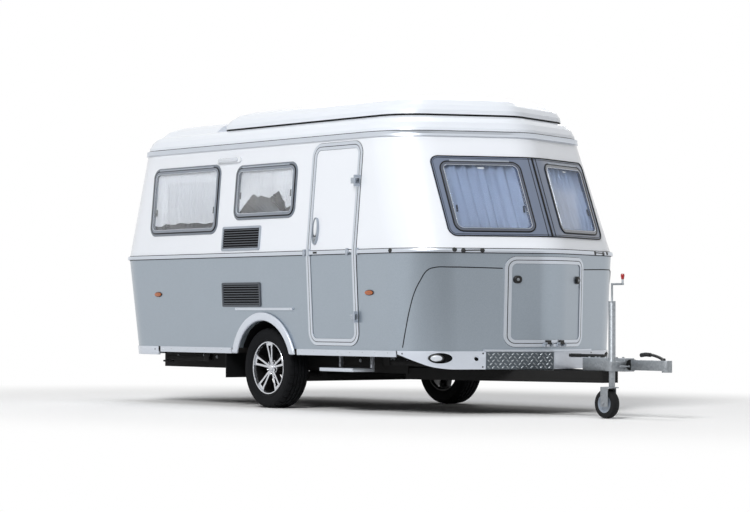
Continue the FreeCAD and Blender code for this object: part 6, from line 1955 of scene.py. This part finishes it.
@dataclass
class Coupling(SmallParts):
    """The drawbar's gaiter, the coupling's handle and the handbrake's grip."""

    gaiter_start: float = 2.316
    gaiter_length: float = 0.050
    pleats: int = 6
    bolt_x: Sequence[float] = (1.95, 2.05, 2.22)
    handle: Sequence[Point] = (
        (2.640, 0.0, 0.398), (2.585, 0.0, 0.418), (2.500, 0.0, 0.432), (2.430, 0.0, 0.428))
    grip: Sequence[Point] = ((2.515, 0.0, 0.430), (2.470, 0.0, 0.432), (2.425, 0.0, 0.427))
    boss: Outline = ((0.0, 0.020), (0.013, 0.019), (0.016, 0.014), (0.017, -0.002), (0.0, -0.002))
    rib: Outline = (
        (0.0118, 0.0), (0.0132, 0.002), (0.0132, 0.006), (0.0118, 0.008), (0.0, 0.008), (0.0, 0.0))
    ribs: int = 9

    def build(self) -> None:
        """Make the pieces on the drawbar."""
        self.keep_copy("coupling_casting", "coupling_head", 0.004, Stock.ZINC, segments=3)
        self.keep_copy("overrun_casting", "overrun_housing", 0.005, Stock.ZINC, segments=3)
        self.keep("coupling_gaiter", [self.gaiter()], Stock.RUBBER)
        handle = [Bench.pipe(self.handle, 0.010, bend=True), Bench.pipe(self.grip, 0.0145, bend=True),
                  Bench.turned(self.boss, 28, Vector((2.636, 0.0, 0.390)))]
        self.keep("coupling_handle", handle, Stock.BLACK)
        lever = [Bench.solid_copy(self.nodes["handbrake_lever"], 0.003)]
        lever += [Bench.turned(self.rib, 20, Vector((1.662 + 0.012 * index, 0.062, 0.416)), AHEAD)
                  for index in range(self.ribs)]
        self.keep("handbrake", lever, Stock.BLACK, instead=["handbrake_lever"])
        spots = [Spot(Vector((x, y, 0.405)), UP, AHEAD) for x in self.bolt_x for y in (-0.03, 0.03)]
        self.stamp("housing_bolts", self.bolt(0.008, 0.007), spots, Stock.ZINC)

    def gaiter(self) -> Thing:
        """The pleated rubber sleeve between the housing and the coupling.

        Returns:
            The sleeve.
        """
        profile = [(0.0262, 0.0)]
        pitch = self.gaiter_length / self.pleats
        for index in range(self.pleats):
            start = pitch * index
            profile += [(0.0300, start + 0.001), (0.0370, start + pitch / 2), (0.0300, start + pitch - 0.001)]
        profile.append((0.0262, self.gaiter_length))
        return Bench.turned(profile, 36, Vector((self.gaiter_start, 0, 0.360)), AHEAD, closed=True)


@dataclass
class JockeyWheel(SmallParts):
    """The jockey wheel with its tyre, fork, tubes, crank and clamp."""

    y: float = -0.135
    axle_x: float = 2.237
    radius: float = 0.100
    half_tyre: Outline = ((0.062, -0.028), (0.078, -0.030), (0.092, -0.027), (0.098, -0.018), (0.100, -0.006))
    half_hub: Outline = ((0.0110, -0.029), (0.020, -0.029), (0.022, -0.012), (0.054, -0.010), (0.058, -0.026),
                         (0.0625, -0.026))
    knob: Outline = ((0.0, 0.039), (0.006, 0.0385), (0.0105, 0.036), (0.0128, 0.030), (0.0130, 0.022),
                     (0.0112, 0.012), (0.0100, 0.004), (0.0085, 0.0), (0.0, 0.0))
    clamp: Point = (2.372, -0.100, 0.352)
    clamp_half: float = 0.040
    bar_end: Outline = ((0.0, 0.006), (0.005, 0.005), (0.0065, 0.0), (0.005, -0.005), (0.0, -0.006))

    def build(self) -> None:
        """Make the jockey wheel's pieces on their bodies."""
        tyre, hub = [Bench.turned([*half, *((radius, -height) for radius, height in reversed(half))], steps,
                                  Vector((self.axle_x, self.y, self.radius)), LEFTWARDS, closed=True)
                     for half, steps in ((self.half_tyre, 60), (self.half_hub, 48))]
        self.keep("jockey_tyre", [tyre], Stock.RUBBER, "jockey_roller", ["jockey_wheel"])
        self.keep("jockey_hub", [hub], Stock.GREY, "jockey_roller")
        self.keep_copy("jockey_fork_pressing", "jockey_fork", 0.0016, Stock.ZINC, "jockey_swivel_fork")
        nuts = [Spot(Vector((self.axle_x, self.y + way * 0.040, self.radius)), LEFTWARDS * way, AHEAD)
                for way in (-1, 1)]
        self.stamp("jockey_axle_nuts", self.bolt(0.0105, 0.006), nuts, Stock.ZINC, "jockey_swivel_fork")
        self.keep_copy("jockey_stem_and_crank", "jockey_stem", 0.0015, Stock.ZINC, "jockey_inner")
        self.keep_copy("jockey_tube_and_clamp", "jockey_tube", 0.0008, Stock.ZINC)
        knob = Bench.turned(self.knob, 32, Vector((2.388, self.y, 0.935)))
        self.keep("crank_grip", [knob], Stock.KNOB, "jockey_inner", ["crank_knob"])
        self.keep("clamp_screw", self.clamp_screw(), Stock.ZINC)

    def clamp_screw(self) -> list[Thing]:
        """The clamp's screw with its turned bar.

        Returns:
            Its pieces.
        """
        x, y, z = self.clamp
        ends = [y - self.clamp_half, y + self.clamp_half]
        return [Bench.pipe([(2.330, y, z), self.clamp], 0.006),
                Bench.pipe([(x, end, z) for end in ends], 0.0045),
                *[Bench.turned(self.bar_end, 16, Vector((x, end, z)), LEFTWARDS) for end in ends]]


@dataclass
class EntryStep(SmallParts):
    """The entry step's ribbed tread and its hangers' screws."""

    ribs: int = 15
    pitch: float = 0.012

    def build(self) -> None:
        """Make the step's pieces."""
        self.keep_copy("entry_step_pressing", "entry_step", 0.003, Stock.RAIL)
        places = [-0.930 + self.pitch * index for index in range(self.ribs)]
        ribs = [Bench.block((0.084, y, 0.3125), (0.459, y + 0.005, 0.3148), 0.0008) for y in places]
        self.keep("step_ribs", ribs, Stock.SLATS)
        spots = [Spot(Vector((x, -0.762, z)), -LEFTWARDS, AHEAD)
                 for x in (0.087, 0.456) for z in (0.345, 0.385)]
        self.stamp("step_screws", self.bolt(0.0055, 0.004), spots, Stock.ZINC)


@dataclass
class Steadies(SmallParts):
    """The corner steadies with their spindles and hexagonal heads."""

    places: Sequence[Point] = ((-1.515, 0.850, 1), (0.625, 0.700, -1))
    head: Outline = ((0.0, 0.050), (0.0120, 0.050), (0.0140, 0.046), (0.0140, 0.010), (0.0180, 0.008),
                     (0.0180, 0.0), (0.0, 0.0))

    def build(self) -> None:
        """Make the legs in place of the plain ones, and the spindles beside them."""
        for end in ("front", "rear"):
            for side in Side:
                name = "%s_%s" % (end, side.name.lower())
                self.keep_copy("steady_%s_pressing" % name, "steady_leg_" + name, 0.003, Stock.STEEL,
                               "steady_" + name)
        self.keep_copy("steady_bracket_pressings", "steady_brackets", 0.001, Stock.STEEL)
        heads = [Bench.turned(self.head, 6 if way < 0 else 24,
                              Vector((x - 0.010 * way, side.value * y, 0.380)), AHEAD * way)
                 for side in Side for x, y, way in self.places]
        self.keep("steady_spindle_heads", heads, Stock.ZINC)


@dataclass(frozen=True)
class Studio:
    """The floor, the soft lamps and the white background."""

    ambient: float = 0.22
    paint: float = 0.95
    quiet: Point = (0.78, -0.62, 0.0)
    hush: float = 0.72
    lamp_size: float = 8.0
    lamps: Sequence[tuple] = (
        ("key_lamp", (10.5, -17.0, 14.0), (-0.3, 0, 0.9), 3850),
        ("fill_lamp", (-14.0, 13.0, 10.0), (-0.6, 0, 0.9), 760),
        ("top_lamp", (-0.5, 0.0, 15.0), (-0.5, 0, 0), 640))

    def build(self) -> None:
        """Set the floor, the soft lamps that look at the caravan, and the world up."""
        Bench.clear()
        bpy.ops.mesh.primitive_plane_add(size=160, location=(0, 0, 0))
        floor = bpy.context.active_object
        floor.name = "studio_floor"
        floor.data.materials.append(self.floor_paint())
        for name, place, goal, power in self.lamps:
            Bench.clear()
            bpy.ops.object.light_add(type="AREA", location=place)
            lamp = bpy.context.active_object
            lamp.name = name
            lamp.data.size = self.lamp_size
            lamp.data.energy = power
            lamp.rotation_euler = (Vector(goal) - Vector(place)).to_track_quat("-Z", "Y").to_euler()
        self.world()

    @staticmethod
    def seen(tree: Tree) -> Socket:
        """A mask of what the camera sees, straight, mirrored or through glass."""
        path = Effects.node(tree, "LightPath").outputs
        first = Effects.sum_up(tree, "MAXIMUM", path["Is Camera Ray"], path["Is Glossy Ray"])
        return Effects.sum_up(tree, "MAXIMUM", first, path["Is Transmission Ray"])

    def white(self, tree: Tree, way: Socket) -> Socket:
        """The background's strength: white, but dimmer in a mirror that faces the camera's side of the room.

        Args:
            tree: The tree that it is in.
            way: The direction, or the place on the floor.

        Returns:
            The socket of the strength.
        """
        unit = Effects.vector(tree, "NORMALIZE", way).outputs[0]
        along = Effects.vector(tree, "DOT_PRODUCT", unit, self.quiet).outputs["Value"]
        glossy = Effects.node(tree, "LightPath").outputs["Is Glossy Ray"]
        mirrored = Effects.sum_up(tree, "MULTIPLY", self.ramp(tree, along, 0.62, 0.98), glossy)
        return Effects.sum_up(tree, "SUBTRACT", 1.0, Effects.sum_up(tree, "MULTIPLY", mirrored, self.hush))

    @staticmethod
    def ramp(tree: Tree, value: Socket, low: float, high: float) -> Socket:
        """A smooth rise from 0 to 1 between two values."""
        return Effects.node(tree, "MapRange", {"Value": value, "From Min": low, "From Max": high},
                            interpolation_type="SMOOTHSTEP").outputs["Result"]

    def floor_paint(self) -> bpy.types.Material:
        """The pale floor, which keeps the shadow near the caravan and turns plain white further out.

        Returns:
            The floor's material.
        """
        material = bpy.data.materials.new("pale floor")
        material.use_nodes = True
        tree = material.node_tree
        shader = tree.nodes["Principled BSDF"]
        Effects.feed(tree, shader.inputs, {"Roughness": 0.9, "Specular IOR Level": 0.0,
                                           "Base Color": (self.paint, self.paint, self.paint, 1)})
        place = Effects.node(tree, "TexCoord").outputs["Object"]
        glow = Effects.node(tree, "Emission", {"Strength": self.white(tree, place)})
        squeezed = Effects.vector(tree, "MULTIPLY", place, (0.7, 1.0, 0.0)).outputs[0]
        reach = Effects.vector(tree, "LENGTH", squeezed).outputs["Value"]
        share = Effects.sum_up(tree, "MULTIPLY", self.ramp(tree, reach, 2.6, 5.2), self.seen(tree))
        mix = Effects.node(tree, "MixShader", {0: share, 1: shader.outputs[0], 2: glow.outputs[0]})
        tree.links.new(mix.outputs[0], tree.nodes["Material Output"].inputs["Surface"])
        return material

    def world(self) -> None:
        """A soft grey light all round that looks white."""
        world = bpy.data.worlds.new("studio")
        bpy.context.scene.world = world
        world.use_nodes = True
        tree = world.node_tree
        white = self.white(tree, Effects.node(tree, "TexCoord").outputs["Generated"])
        seen = self.seen(tree)
        dull = Effects.sum_up(tree, "MULTIPLY", Effects.sum_up(tree, "SUBTRACT", 1.0, seen), self.ambient)
        shown = Effects.sum_up(tree, "MULTIPLY", white, seen)
        Effects.feed(tree, tree.nodes["Background"].inputs,
                     {"Color": (1, 1, 1, 1), "Strength": Effects.sum_up(tree, "ADD", dull, shown)})


@dataclass
class Caravan:
    """The whole caravan: the frame's solids with their finishes and every dressed assembly."""

    nodes: dict[str, Thing]
    parts: list[type[Assembly]] = field(default_factory=lambda: [
        Windows, Curtains, Bellows, Rails, EntranceDoor, Locker, FridgeGrilles, Lamps, Bumpers, Undercarriage,
        Coupling, JockeyWheel, EntryStep, Steadies])

    def build(self) -> None:
        """Dress the solids and build the assemblies in order."""
        for name, finish in Stock.NODES.items():
            finish.dress(self.nodes[name])
        for side in Side:
            RoadWheel(self.nodes, side=side).build()
        for part in self.parts:
            LOG.info("building %s", part.__name__)
            part(self.nodes).build()


def main() -> None:
    """Build the caravan on its frame."""
    logging.basicConfig(level=logging.INFO, format="%(message)s")
    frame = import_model()
    Bench.clear()
    Viewpoint().build()
    Studio().build()
    Caravan(frame["nodes"]).build()
    bpy.context.scene.view_settings.view_transform = "Standard"
    bpy.context.view_layer.update()


if __name__ == "__main__":
    main()
